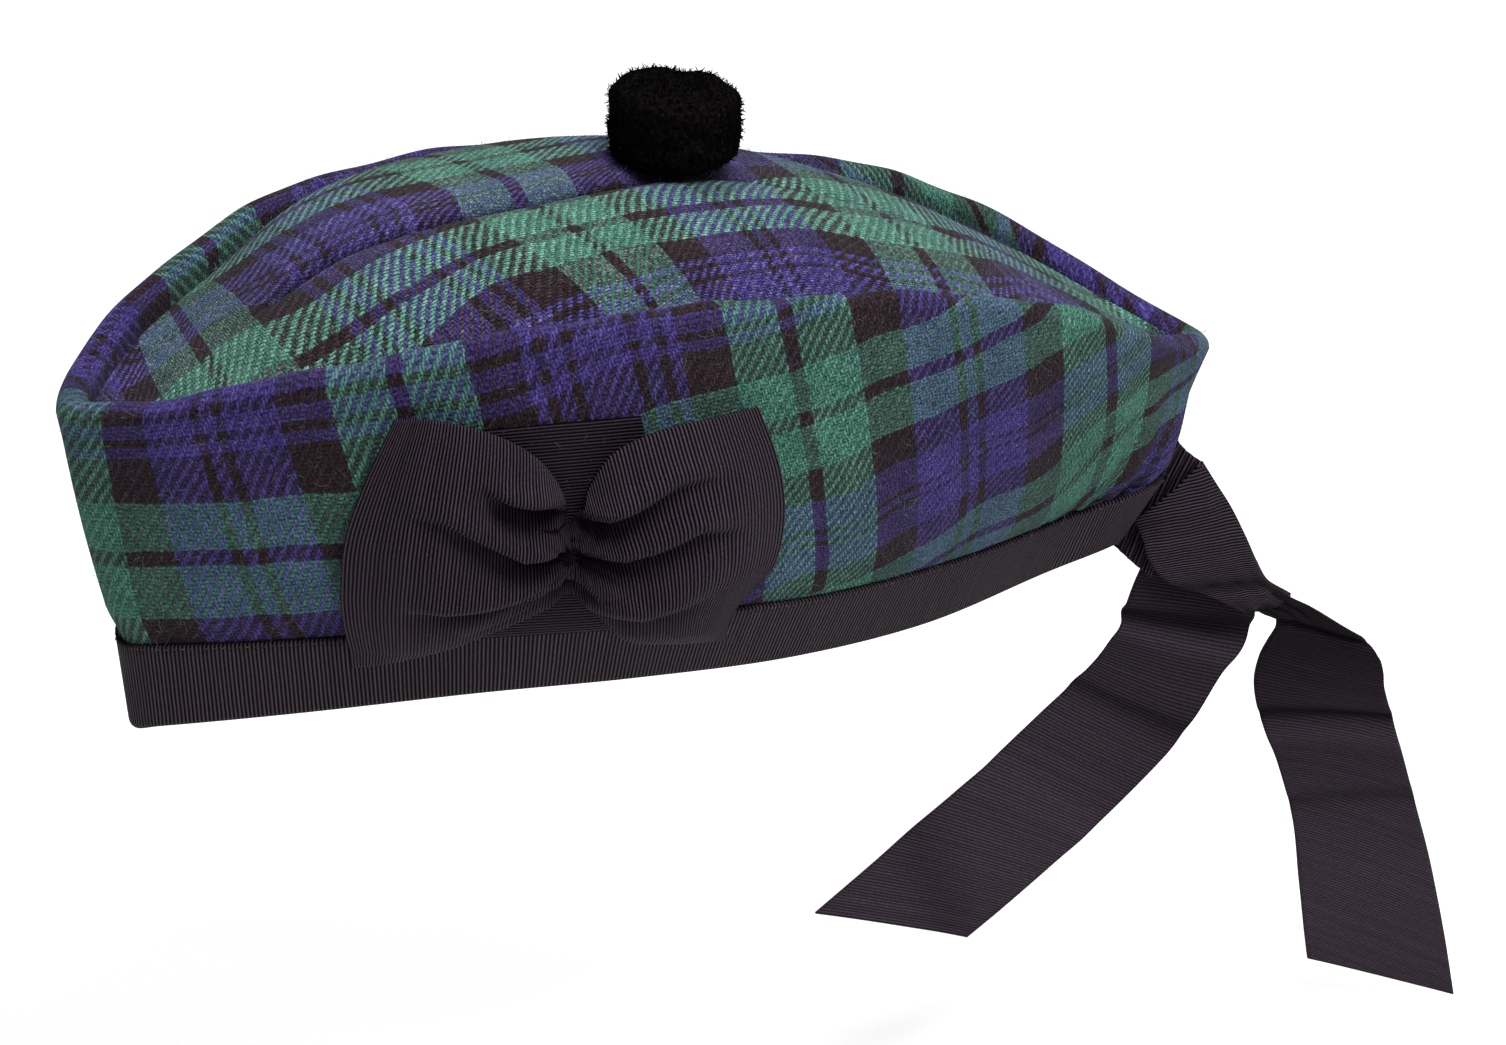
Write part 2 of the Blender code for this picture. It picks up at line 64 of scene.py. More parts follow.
RIM_HEIGHT = 0.117
OPENING_LENGTH = 0.262
OPENING_HALF_WIDTH = 0.0475
EDGE_ARCH = 0.0145
CROWN_HEIGHT = 0.131
CLOTH = 0.0020
WALL_PUFF = 0.0075
PUFF_SKEW = 0.8
TUCK_SHARE = 0.17
RIM_FOLD = 0.0080
RIM_DEPTH = 0.0095
BACK_RIM_DEPTH = 0.0050
RIM_RUNOUT = 0.78  # station from which the rim gets lower
RUNOUT_SPREAD = 0.18
CROWN_FULLNESS = 3.6
CREASE_DEPTH = 0.0052
CREASE_HALF_WIDTH = 0.0025
# CREASE_SHADE is the width of the painted shade along the crease.
CREASE_SHADE = 0.0011
GATHER_DEPTH = 0.0016
GATHERS = 20
GATHER_START = 0.78
GATHER_SPREAD = 0.125
PUCKER_REACH = 0.10  # share of the side over which the puckers at the band fade
PUCKER_START = 0.04
WALL_TWIST = 0.06  # stations by which the ripples move along from the band to the rim
FAR_EASING = 0.04  # how soon behind a tip the far side's pattern differs
FAR_TURN = 0.37  # by what share of a turn the far side's ripples differ
GAP = 0.0003

# Headband
BAND_HEIGHT = 0.0250
BAND_CLOTH = 0.0012
BAND_TURNING = 0.0090
HEM_INSET = 0.0006
HEM_PROUD = 0.0001

# Toorie
CLEFT_DEPTH = 0.0014
CLEFT_WIDTH = 0.16
CLEFT_SHIFT = 0.40
TOORIE_TILT = 0.0014
TOORIE_GIRTH = 1.11
TOORIE_SPREAD = 0.02
TOORIE_LUMP = 0.035
TOORIE_LUMPS = ((8, 2), (9, 1), (8, 0))  # how fast they follow each other, and their start
TOORIE_SQUARENESS = 4.6
PILE_LENGTH = 0.0021
TUFT_LENGTH = 0.85 * PILE_LENGTH
CORE_PROUD = 0.35 * PILE_LENGTH  # how much of the pile is too dense to see into
PILE_THICKNESS = 0.00045
PILE_DENSITY = 1400000  # tufts on each square metre

# Bow and the ribbon behind it
RIBBON = 0.0010
BOW_WIDTH = 0.114
BOW_HEIGHT = 0.070
BOW_PUFF = 0.0100
BOW_FULLNESS = 0.6
BOW_EDGE = 0.06
BOW_STATION = 0.352
BOW_RISE = 0.0240
BACKING_WIDTH = 0.048
BACKING_FOOT = -0.002
BACKING_TOP = 0.058
BOW_CLEARANCE = (0.20, 0.066)  # smooth cloth behind the bow: share along and metres up
PRESSED_SHARE = 0.92  # how much of the stand-off the deepest pleat takes
PINCH_CREASES = 17
PINCH_CREASE_DEPTH = 0.055  # as a share of BOW_PUFF
PINCH_CREASE_REACH = 0.014
BOW_WALK = 0.25  # stations searched on each side of the bow

# Ribbons at the back
TAIL_WIDTH = 0.0345
GATHER_RIPPLES = 3.5
# FOLD_DARKEST is the crease depth at which a ribbon's painted shade is full; SHADE_REACH how far
# along it the painted shade at its start reaches.
FOLD_DARKEST = 0.0022
SHADE_REACH = 0.38
GATHER_RIPPLE_DEPTH = 0.0005

# Mesh steps
SIDE_COLUMNS = 300
TIP_CROWDING = 0.6
WALL_ROWS = 44
WALL_CROWDING = 1.2
FOLD_ROWS = 12
LEG_ROWS = 4
CROWN_COLUMNS = 220
CROWN_ROWS = 120
BOW_STEPS = (230, 130)
BACKING_STEPS = (40, 50)
RIBBON_COLUMNS = 26
RIBBON_STEP = 0.0010
RIBBON_LEAST_STEPS = 30
SLIT_STATION = 0.965  # where the headband ends on each side of the slit


def table(columns, *rows):
    """Rows of values whose columns have names."""
    named_row = namedtuple("Row", columns)
    return [named_row(*row) for row in rows]


# The cap's sections, as shares, from the front tip to the back tip.
SECTIONS = table(
    "station rim_along rim_wide rim_high foot_along foot_wide foot_high lean puff crown",
    (0.000, -0.974, 0.00, 0.786, -1.027, 0.00, 0.04, 5, 0.10, 0.60),
    (0.040, -0.925, 0.26, 0.814, -0.985, 0.17, 0.22, 9, 0.15, 0.62),
    (0.130, -0.780, 0.59, 0.885, -0.757, 0.53, 0.62, 16, 0.30, 0.72),
    (0.270, -0.512, 0.91, 0.974, -0.454, 0.88, 1.00, 21, 0.45, 0.95),
    (0.410, -0.201, 1.00, 1.000, -0.141, 1.00, 0.93, 25, 0.60, 1.00),
    (0.555, 0.115, 0.92, 0.957, 0.187, 0.88, 0.55, 28, 0.90, 0.97),
    (0.695, 0.433, 0.86, 0.884, 0.515, 0.59, 0.17, 26, 1.00, 0.83),
    (0.835, 0.718, 0.735, 0.750, 0.817, 0.30, 0.19, 28, 0.80, 0.64),
    (0.945, 0.940, 0.35, 0.570, 0.975, 0.21, 0.31, 30, 0.20, 0.47),
    (1.000, 1.040, 0.00, 0.502, 1.025, 0.00, 0.05, 28, 0.00, 0.39),
)
MIRRORED = ("rim_wide", "foot_wide")

# Upper and lower edge of the bow, left to right, as shares of half its width and height.
BOW_COLUMNS = table(
    "place top_along top_high low_along low_high stand",
    (0.00, -0.60, 1.14, -0.97, -0.88, 0.20),
    (0.14, -0.44, 1.13, -0.76, -0.79, 0.75),
    (0.28, -0.24, 1.01, -0.52, -0.66, 1.00),
    (0.38, -0.08, 0.81, -0.30, -0.53, 0.95),
    (0.45, 0.00, 0.56, -0.13, -0.42, 0.70),
    (0.50, 0.02, 0.26, -0.03, -0.31, 0.35),
    (0.55, 0.11, 0.50, 0.06, -0.52, 0.70),
    (0.63, 0.24, 0.76, 0.18, -0.72, 0.95),
    (0.75, 0.46, 0.90, 0.36, -0.78, 1.00),
    (0.88, 0.72, 0.95, 0.53, -0.82, 0.75),
    (1.00, 0.94, 0.98, 0.66, -0.90, 0.20),
)

# How far the bow's side edges bow out at a share of their height, as a share of half its width.
BOW_EDGES = table(
    "climb left right",
    (0.00, 0.000, 0.000),
    (0.12, -0.060, -0.045),
    (0.24, -0.108, 0.000),
    (0.36, -0.135, 0.110),
    (0.56, -0.147, 0.140),
    (0.76, -0.100, 0.110),
    (1.00, 0.000, 0.010),
)

# The bow's folds, outwards from the pinch, as shares of half its width and height.
# Each line runs under the lower edge of a pleat: depth is a share of BOW_PUFF.
FOLD_COLUMNS = "along high depth"
BOW_FOLDS = {
    "top left": table(
        FOLD_COLUMNS,
        (0.002, 0.373, 1.00),
        (-0.060, 0.405, 1.00),
        (-0.143, 0.424, 1.00),
        (-0.244, 0.489, 0.75),
        (-0.300, 0.580, 0.30),
        (-0.330, 0.680, 0.00),
    ),
    "middle left": table(
        FOLD_COLUMNS,
        (0.008, 0.082, 1.00),
        (-0.112, 0.027, 1.00),
        (-0.227, 0.059, 0.85),
        (-0.376, 0.232, 0.60),
        (-0.509, 0.415, 0.30),
        (-0.699, 0.493, 0.00),
    ),
    "lower left": table(
        FOLD_COLUMNS,
        (-0.047, -0.173, 1.00),
        (-0.183, -0.256, 0.85),
        (-0.378, -0.316, 0.65),
        (-0.559, -0.339, 0.50),
        (-0.760, -0.280, 0.00),
    ),
    "hem left": table(
        FOLD_COLUMNS,
        (-0.111, -0.271, 0.80),
        (-0.270, -0.431, 0.50),
        (-0.445, -0.542, 0.30),
        (-0.647, -0.537, 0.00),
    ),
    "top right": table(
        FOLD_COLUMNS,
        (0.013, 0.279, 1.00),
        (0.168, 0.259, 0.95),
        (0.302, 0.348, 0.75),
        (0.485, 0.497, 0.40),
        (0.780, 0.544, 0.00),
    ),
    "middle right": table(
        FOLD_COLUMNS,
        (0.044, -0.013, 1.00),
        (0.203, -0.025, 0.95),
        (0.336, 0.035, 0.75),
        (0.541, 0.157, 0.45),
        (0.763, 0.147, 0.00),
    ),
    "small pleat": table(
        FOLD_COLUMNS,
        (-0.032, -0.200, 0.80),
        (0.060, -0.330, 0.60),
        (0.110, -0.420, 0.00),
    ),
    "hem right": table(
        FOLD_COLUMNS,
        (0.044, -0.489, 0.55),
        (0.229, -0.513, 0.45),
        (0.425, -0.423, 0.35),
        (0.622, -0.258, 0.00),
    ),
}
PLEAT_EDGE = 0.045  # how quickly a pleat turns under at its lower edge, in half heights
PLEAT_SHADE = 0.20  # how gently the cloth rises again below it
PLEAT_ROLL = 0.30  # how much the pleat swells above its edge, as a share of its depth
ROLL_AT = 2.6 * PLEAT_EDGE
ROLL_SPREAD = 1.7 * PLEAT_EDGE

# Left and right edge of each ribbon, in millimetres from the middle of the slit.
EDGE_COLUMNS = "place left_along left_out left_high right_along right_out right_high"
ROOT_ROWS = table(
    EDGE_COLUMNS,
    (0.00, -7.0, 1.5, -10.5, 9.0, 1.0, 19.0),
    (0.50, -2.0, 1.5, -16.0, 13.0, 1.0, 13.5),
    (1.00, 3.5, 1.5, -21.5, 18.5, 1.0, 8.5),
)
KNOT_ROWS = table(
    EDGE_COLUMNS,
    (0.00, -2.5, 5.5, -2.5, 18.0, 3.5, 9.5),
    (0.20, -0.5, 7.7, -8.0, 22.5, 4.0, 2.0),
    (0.40, 1.5, 8.6, -14.5, 27.0, 4.0, -5.5),
    (0.60, 6.5, 9.2, -20.5, 31.5, 4.5, -15.0),
    (0.75, 16.0, 9.2, -25.5, 34.5, 5.0, -22.0),
    (0.90, 24.5, 8.3, -31.0, 38.5, 4.5, -28.3),
    (1.00, 32.0, 6.5, -37.0, 46.5, 3.7, -35.2),
)
FRONT_TAIL_ROWS = table(
    EDGE_COLUMNS,
    (0.00, 3.0, -0.5, -17.0, 25.5, 1.5, -25.5),
    (0.055, 0.0, 0.0, -22.5, 33.5, 2.5, -35.5),
    (0.095, -2.0, 0.0, -28.0, 33.5, 3.3, -40.5),
    (0.13, -3.0, 0.0, -31.5, 30.5, 3.8, -46.0),
    (0.17, -4.2, 0.0, -35.0, 25.2, 4.2, -51.5),
    (0.27, -10.8, -0.9, -45.0, 12.5, 7.5, -66.5),
    (0.42, -26.0, -0.7, -57.0, -5.2, 8.0, -82.5),
    (0.60, -44.2, -1.3, -71.7, -24.7, 7.5, -98.0),
    (0.80, -66.7, -2.1, -88.4, -47.7, 6.6, -115.0),
    (1.00, -89.8, -3.0, -105.2, -70.7, 5.8, -131.7),
)
REAR_TAIL_ROWS = table(
    EDGE_COLUMNS,
    (0.00, 31.0, 4.0, -33.5, 41.0, 3.0, -32.0),
    (0.025, 37.0, 4.0, -38.0, 45.5, 3.2, -35.5),
    (0.045, 41.5, 3.5, -41.0, 50.5, 4.0, -38.5),
    (0.085, 41.2, 1.5, -44.2, 58.0, 5.0, -44.0),
    (0.125, 40.4, -0.5, -48.3, 65.0, 6.5, -49.5),
    (0.165, 39.3, -2.5, -53.7, 69.7, 8.0, -55.0),
    (0.21, 39.3, -4.8, -62.0, 71.0, 9.2, -59.5),
    (0.26, 41.6, -6.3, -71.8, 71.4, 9.9, -64.5),
    (0.39, 48.3, -6.3, -89.4, 76.6, 9.9, -81.0),
    (0.53, 54.0, -6.4, -109.0, 82.6, 9.8, -101.0),
    (0.67, 56.8, -6.6, -128.3, 88.7, 9.6, -121.5),
    (0.84, 60.6, -7.3, -152.1, 94.8, 8.9, -146.0),
    (1.00, 65.0, -8.0, -175.0, 99.3, 8.1, -166.3),
)

# The sett: threads of each colour from one pivot to the next.
SETT = (
    ("blue", 8), ("black", 3), ("blue", 5), ("black", 3), ("blue", 4), ("black", 16),
    ("green", 19), ("black", 5), ("green", 19), ("black", 16), ("blue", 17), ("black", 3),
    ("blue", 2),
)
HALF_SETT = sum(count for _, count in SETT)
WEFT_PACKING = 0.73  # crosswise threads for each lengthwise one, over the same distance
THREAD = 0.000775  # from one lengthwise thread to the next
SIDE_FIRST_THREAD = -54.4 - HALF_SETT  # lengthwise place in the sett at the front tip
SIDE_THREADS = 424  # threads along one side
FAR_LEAD = 26  # threads by which the far side's pattern runs ahead
FAR_DROP = 22  # threads by which it lies lower
CROWN_FIRST_THREAD = 119.5  # place in the sett at the near green stripe's middle
RIM_LEAN = 4.0  # threads by which the front stripes lean, from the band to the rim
LEAN_END = 0.50  # station at which that lean has run out
TWILL = 4.0  # threads in which the weave repeats
FLOAT_FROM = -0.3  # where a thread comes up, in threads from the first that it covers
FLOAT_TO = 2.3  # where it goes under again

# Crosswise place in the sett down the side, in threads, at shares of the side's height.
WEFT_SHARES = (0.0, 0.25, 0.5, 0.75, 1.057)
WEFT_ROWS = table(
    "station rim upper middle lower foot",
    (-0.10, -52, -28.0, -8.0, 12.0, 32),
    (0.060, -55, -28.6, -7.0, 13.0, 32.5),
    (0.153, -55.5, -30.4, -8.8, 12.4, 33.5),
    (0.333, -56, -32.5, -12.0, 10.0, 35),
    (0.413, -52, -21.5, 3.0, 26.0, 50),
    (0.527, -51, -11.7, 20.0, 59.0, 96),
    (0.587, -42, -5.0, 27.0, 62.5, 106),
    (0.620, -36.5, 1.7, 36.0, 74.0, 112),
    (0.667, -30, 9.0, 44.5, 86.0, 124),
    (0.707, -19, 18.5, 62.0, 102.0, 135),
    (0.760, -4.5, 32.5, 73.0, 109.0, 137),
    (0.800, 8, 50.5, 95.0, 120.0, 143),
    (0.833, 19, 72.0, 113.0, 133.0, 150),
    (0.893, 60, 105.0, 130.0, 150.0, 165),
    (1.000, 105, 140.0, 160.0, 175.0, 190),
    (1.100, 120, 155.0, 170.0, 185.0, 195),
)

# The crown's crease: its distance from the cap's middle in millimetres and its share of the depth.
CREASE_LINE = table(
    "station middle depth",
    (0.00, 0.0, 0.0),
    (0.18, -1.0, 0.1),
    (0.22, -3.5, 0.7),
    (0.26, -6.5, 1.0),
    (0.30, -9.8, 1.0),
    (0.36, -11.0, 1.0),
    (0.42, -10.8, 1.0),
    (0.47, -9.5, 0.8),
    (0.54, -7.0, 0.4),
    (0.70, -4.0, 0.2),
    (1.00, 0.0, 0.0),
)

# On the crown: the lengthwise place in the sett along its middle, and how far these threads
# slant at the near and the far seam as shares of the length.
CROWN_THREADS = table(
    "station warp slant far",
    (-0.100, -170, 0.000, 0.010),
    (0.144, -60, -0.010, 0.006),
    (0.200, -33, 0.010, -0.012),
    (0.274, 0, 0.030, -0.045),
    (0.402, 60, 0.060, -0.063),
    (0.470, 91, 0.055, -0.045),
    (0.543, 120, 0.042, -0.035),
    (0.600, 143, 0.030, -0.030),
    (0.690, 180, 0.013, -0.030),
    (0.824, 240, 0.005, -0.030),
    (1.100, 364, 0.000, 0.000),
)
SLANT_FROM = 0.25  # share of the near half at which the slant starts
SLANT_SPREAD = 0.65

# The edges and middles of the crown's lengthwise stripes, from the near side to the far one: the
# threads from the near green stripe's middle to each, and their places in millimetres.
STRIPE_THREADS = {
    "near_blue": -37.5, "green_near": -21.5, "green_middle": 0.0, "green_far": 21.5,
    "blue_near": 37.5, "blue_far": 81.5, "far_green_near": 97.5, "far_green_middle": 119.0,
}
CROWN_STRIPES = table(
    ("station", *STRIPE_THREADS),
    (-0.10, -55, -48, -25, 0, 12, 28, 34, 46),
    (0.15, -55, -48, -25, 0, 11, 27, 33, 45),
    (0.175, -54, -47, -27, -4, 7, 24, 30, 42),
    (0.20, -52, -43, -31, -13, -2, 18, 24, 36),
    (0.225, -51, -45, -33, -18, -9, 14, 20, 31),
    (0.25, -51, -46, -34, -19.5, -12, 11, 16, 27),
    (0.30, -51, -43.5, -33.7, -20, -12.5, 6.5, 12, 22),
    (0.35, -47.5, -39, -31, -19, -12, 3, 8.5, 17),
    (0.40, -45, -38.5, -29.5, -18, -11, 2.5, 8, 15.5),
    (0.45, -43, -36.5, -28.5, -17, -9.5, 2.5, 8, 16),
    (0.50, -39.5, -35, -26.5, -13.5, -6, 6, 10, 20),
    (0.55, -36.5, -32, -23.5, -10, -2, 9, 14, 24),
    (0.60, -34, -29.5, -19, -4, 4, 14, 19, 30),
    (0.65, -34, -28.5, -16, 6, 13, 26, 31, 40),
    (0.70, -32, -26, -8, 13, 20, 32, 37, 45),
    (0.75, -29, -20, -3, 18, 24, 36, 41, 48),
    (0.80, -19, -9, 6, 24, 30, 42, 46, 52),
    (0.90, -8, 2, 14, 30, 36, 46, 50, 56),
    (1.10, 4, 12, 24, 36, 42, 54, 58, 62),
)

# Loose wool and stitches
WOOL_LENGTH = 0.0026
WOOL_THICKNESS = 0.000085
WOOL_DENSITY = 95000  # loose fibres on each square metre
STITCH_PITCH = 0.0021
STITCH_LENGTH = 0.0013
STITCH_THICKNESS = 0.00028
STITCH_SLANT = 0.25
STRAND_BEND_AT = 0.7  # share of a strand's height at which it bends
STRAND_TAPER = 0.6  # share of its thickness that a strand loses towards its end

# Camera
CAMERA_AZIMUTH = -22.5
CAMERA_ELEVATION = 26.1
CAMERA_DISTANCE = 1.5
CAMERA_TARGET = (0.0315, 0.0, 0.0262)
SENSOR_WIDTH = 36.0
PHOTO_WIDTH = 1506
PIXELS_PER_METRE = 3932

# Studio: azimuth 0 is in front of the bow.
LIGHTS = table(
    "name azimuth elevation distance size power",
    ("key_light", 10, 60, 1.6, 0.6, 27),
    ("fill_light", 55, 35, 2.0, 1.0, 5),
    ("top_light", 170, 78, 1.8, 0.9, 22),
)
WORLD_LIGHT = 0.28
FLOOR_REACH = 6.0
FLOOR_WHITE = (0.60, 0.60, 0.60)
FLOOR_GLOW = 0.50  # the pale table is lit from below, as a light box is

# Colours
YARN = {
    "blue": (0.036, 0.025, 0.122),
    "green": (0.038, 0.122, 0.086),
    "black": (0.0175, 0.0105, 0.0125),
}
# The pale colour of the painted fibre glints.
FIBRE_GLINT = (0.29, 0.32, 0.33)
RED_FIBRE = (0.085, 0.040, 0.045)
BLUE_WOOL = (0.070, 0.062, 0.150)
GREEN_WOOL = (0.060, 0.130, 0.105)
BOW_BLACK = (0.0195, 0.0140, 0.0200)
# Painted light: the tails' black is the ribbon's black made lighter, as the tails are lit more than
# the bow.
TAIL_LIT_BLACK = (0.0260, 0.0190, 0.0265)
# Painted shade: the backing's black is the ribbon's black made darker, for the shade between the
# lobes.
BACKING_SHADED_BLACK = (0.0115, 0.0080, 0.0118)
BAND_BLACK = (0.023, 0.018, 0.0225)
RIBBON_WEAR = (0.080, 0.040, 0.046)
PILE_BLACK = (0.0022, 0.0019, 0.0021)
PILE_RUST = (0.045, 0.014, 0.014)
STITCH_BROWN = (0.055, 0.026, 0.030)


# Shapes

def hermite(knots, values, at):
    """A smooth curve through the values at their knots, read at any number of places."""
    at = np.asarray(at, float)
    knots = np.asarray(knots, float)
    values = np.stack([np.broadcast_to(np.asarray(value, float), at.shape) for value in values])
    spread = (slice(None),) + (None,) * at.ndim
    places = knots[spread]
    slopes = np.empty_like(values)
    slopes[1:-1] = (values[2:] - values[:-2]) / (places[2:] - places[:-2])
    slopes[0] = (values[1] - values[0]) / (places[1] - places[0])
    slopes[-1] = (values[-1] - values[-2]) / (places[-1] - places[-2])
    span = np.clip(np.searchsorted(knots, at) - 1, 0, len(knots) - 2)

    def pick(rows, which):
        return np.take_along_axis(rows, which[None], 0)[0]

    width = knots[span + 1] - knots[span]
    share = (at - knots[span]) / width
    low = pick(values, span)
    rise = pick(values, span + 1) - low
    start = pick(slopes, span) * width
    end = pick(slopes, span + 1) * width
    square = 3 * rise - 2 * start - end
    cubic = start + end - 2 * rise
    return low + share * (start + share * (square + share * cubic))


def read_row(rows, name, at):
    return hermite([row[0] for row in rows], [getattr(row, name) for row in rows], at)


def section(name, station):
    sign = -1 if name in MIRRORED else 1
    knots = [2 * SECTIONS[0][0] - SECTIONS[1][0]] + [row[0] for row in SECTIONS]
    knots.append(2 * SECTIONS[-1][0] - SECTIONS[-2][0])
    column = [getattr(row, name) for row in SECTIONS]
    return hermite(knots, [sign * column[1]] + column + [sign * column[-2]], station)


def ease(value):
    share = np.clip(value, 0, 1)
    return share * share * (3 - 2 * share)


def vector(x, y, z):
    return np.stack(np.broadcast_arrays(x, y, z), -1).astype(float)


def unit(way):
    return way / np.linalg.norm(way, axis=-1, keepdims=True)


def scaled(way, amount):
    return way * np.asarray(amount)[..., None]


UP = np.array((0.0, 0.0, 1.0))


def rim_at(station):
    return vector(
        section("rim_along", station) * CAP_LENGTH / 2,
        -section("rim_wide", station) * RIM_HALF_WIDTH,
        section("rim_high", station) * RIM_HEIGHT,
    )


def foot_at(station):
    return vector(
        section("foot_along", station) * OPENING_LENGTH / 2,
        -section("foot_wide", station) * OPENING_HALF_WIDTH,
        section("foot_high", station) * EDGE_ARCH,
    )


def outward(curve, station):
    step = 0.004
    run = curve(station + step) - curve(station - step)
    return unit(vector(run[..., 1], -run[..., 0], 0))


def band_axes(station):
    out = outward(foot_at, station)
    lean = np.radians(section("lean", station))
    climb = scaled(UP, np.cos(lean)) + scaled(out, np.sin(lean))
    face = scaled(out, np.cos(lean)) - scaled(UP, np.sin(lean))
    return climb, face


def side_height(station):
    band_top = foot_at(station) + band_axes(station)[0] * BAND_HEIGHT
    return np.linalg.norm(rim_at(station) - UP * RIM_FOLD / 2 - band_top, axis=-1)


def side_point(station, rise):
    """The cap's smooth outer side: rise is measured up from the top of the headband."""
    station, rise = np.broadcast_arrays(np.asarray(station, float), np.asarray(rise, float))
    climb, _ = band_axes(station)
    band_top = foot_at(station) + climb * BAND_HEIGHT
    rim = rim_at(station) - UP * RIM_FOLD / 2
    share = np.maximum(rise, 0) / np.linalg.norm(rim - band_top, axis=-1)
    bow_out = np.sin(math.pi * np.clip(share, 0, 1) ** PUFF_SKEW)
    puff = section("puff", station) * WALL_PUFF * bow_out
    above = band_top + scaled(rim - band_top, share) + scaled(outward(rim_at, station), puff)
    return above + scaled(climb, np.minimum(rise, 0))


def side_face(station, rise):
    step = 0.002
    run = side_point(station + step, rise) - side_point(station - step, rise)
    climb = side_point(station, rise + step) - side_point(station, rise - step)
    return unit(np.cross(run, climb))


def rim_depth(station):
    """How far the rim stands above the crown: it runs out towards the back."""
    return RIM_DEPTH - (RIM_DEPTH - BACK_RIM_DEPTH) * ease((station - RIM_RUNOUT) / RUNOUT_SPREAD)


def crown_edge(station):
    out = outward(rim_at, station)
    edge = rim_at(station) - out * (RIM_FOLD + GAP)
    edge[..., 2] -= rim_depth(station) - CLOTH
    edge[..., 1] = np.minimum(edge[..., 1], 0)
    return edge


def round_stations(count):
    """Stations once round the cap with their side: -1 left, 1 right, from the front tip."""
    shares = np.arange(count + 1) / count
    left = shares - TIP_CROWDING * np.sin(math.tau * shares) / math.tau
    stations = np.concatenate([left, left[-2:0:-1]])
    sides = np.concatenate([-np.ones(count + 1), np.ones(count - 1)])
    return stations, sides


def on_side(points, sides):
    points = points.copy()
    points[..., 1] *= -sides
    return points


def run_lengths(points):
    """Distance along the first axis of a grid of points."""
    steps = np.linalg.norm(np.diff(points, axis=0), axis=-1)
    return np.concatenate([np.zeros((1,) + steps.shape[1:]), np.cumsum(steps, 0)])


# Meshes

def add_object(name, data):
    made = bpy.data.objects.new(name, data)
    bpy.context.scene.collection.objects.link(made)
    return made


def grid_index(points):
    """The number of each point in a grid of columns and rows."""
    columns, rows = points.shape[:2]
    return np.arange(columns * rows).reshape(columns, rows)


def quads_between(here, after):
    """Faces between columns of points and the columns after them."""
    return np.stack([here[:, :-1], after[:, :-1], after[:, 1:], here[:, 1:]], -1).reshape(-1, 4)


def cloth_mesh(name, points, faces, threads, finish):
    """A smooth mesh, with its cloth map as the UV map."""
    mesh = bpy.data.meshes.new(name)
    mesh.from_pydata(points.reshape(-1, 3).tolist(), [], faces)
    loops = np.empty(len(mesh.loops), np.int32)
    mesh.loops.foreach_get("vertex_index", loops)
    layer = mesh.uv_layers.new(name="cloth_map")
    layer.data.foreach_set("uv", threads.reshape(-1, 2)[loops].astype(np.float32).ravel())
    mesh.materials.append(finish)
    mesh.shade_smooth()
    return add_object(name, mesh)


def sheet_mesh(name, points, threads, finish, ring=False):
    """A sheet from columns of points, open or joined into a ring."""
    index = grid_index(points)
    here = index if ring else index[:-1]
    after = np.roll(index, -1, 0) if ring else index[1:]
    return cloth_mesh(name, points, quads_between(here, after).tolist(), threads, finish)


def closed_mesh(name, fronts, backs, threads, finish):
    """A sheet with a front and a back, closed round its edge."""
    index = grid_index(fronts)
    count = index.size
    front = quads_between(index[:-1], index[1:])
    edge = np.concatenate([index[:-1, 0], index[-1, :-1], index[:0:-1, -1], index[0, :0:-1]])
    following = np.roll(edge, -1)
    rim = np.stack([following, edge, edge + count, following + count], -1)
    faces = np.concatenate([front, front[:, ::-1] + count, rim]).tolist()
    return cloth_mesh(name, np.stack([fronts, backs]), faces, np.stack([threads, threads]), finish)


def mark_painted_shade(piece, shares):
    """Painted shade for the finish, from 0 to 1: how far each point is darkened, as deep in a fold.
    """
    layer = piece.data.attributes.new("painted_shade", "FLOAT", "POINT")
    layer.data.foreach_set("value", np.clip(shares, 0, 1).astype(np.float32).ravel())


def thicken(piece, wall, offset):
    solid = piece.modifiers.new("wall", "SOLIDIFY")
    solid.thickness = wall
    solid.offset = offset
    solid.use_even_offset = False


# Finishes

class NodeTree:
    """A tree of nodes, built up a step at a time."""

    def feed(self, socket, value):
        if isinstance(value, bpy.types.NodeSocket):
            self.tree.links.new(value, socket)
        elif hasattr(value, "__len__") and len(value) == 3 and len(socket.default_value) == 4:
            socket.default_value = (*value, 1)
        else:
            socket.default_value = value

    def node(self, kind, output=0, settings=None, **values):
        """A new node's output. Its inputs go by name, or by input and their number."""
        made = self.tree.nodes.new(kind)
        for key, value in (settings or {}).items():
            setattr(made, key, value)
        for key, value in values.items():
            place = int(key[5:]) if key.startswith("input") else key.replace("_", " ")
            self.feed(made.inputs[place], value)
        return made.outputs[output]

    def math(self, operation, first, second=0.0):
        settings = {"operation": operation}
        return self.node("ShaderNodeMath", 0, settings, input0=first, input1=second)

    def total(self, first, *others):
        for value in others:
            first = self.math("ADD", first, value)
        return first

    def product(self, first, *others):
        for value in others:
            first = self.math("MULTIPLY", first, value)
        return first

    def vector(self, x, y=0.0, z=0.0):
        return self.node("ShaderNodeCombineXYZ", 0, None, X=x, Y=y, Z=z)


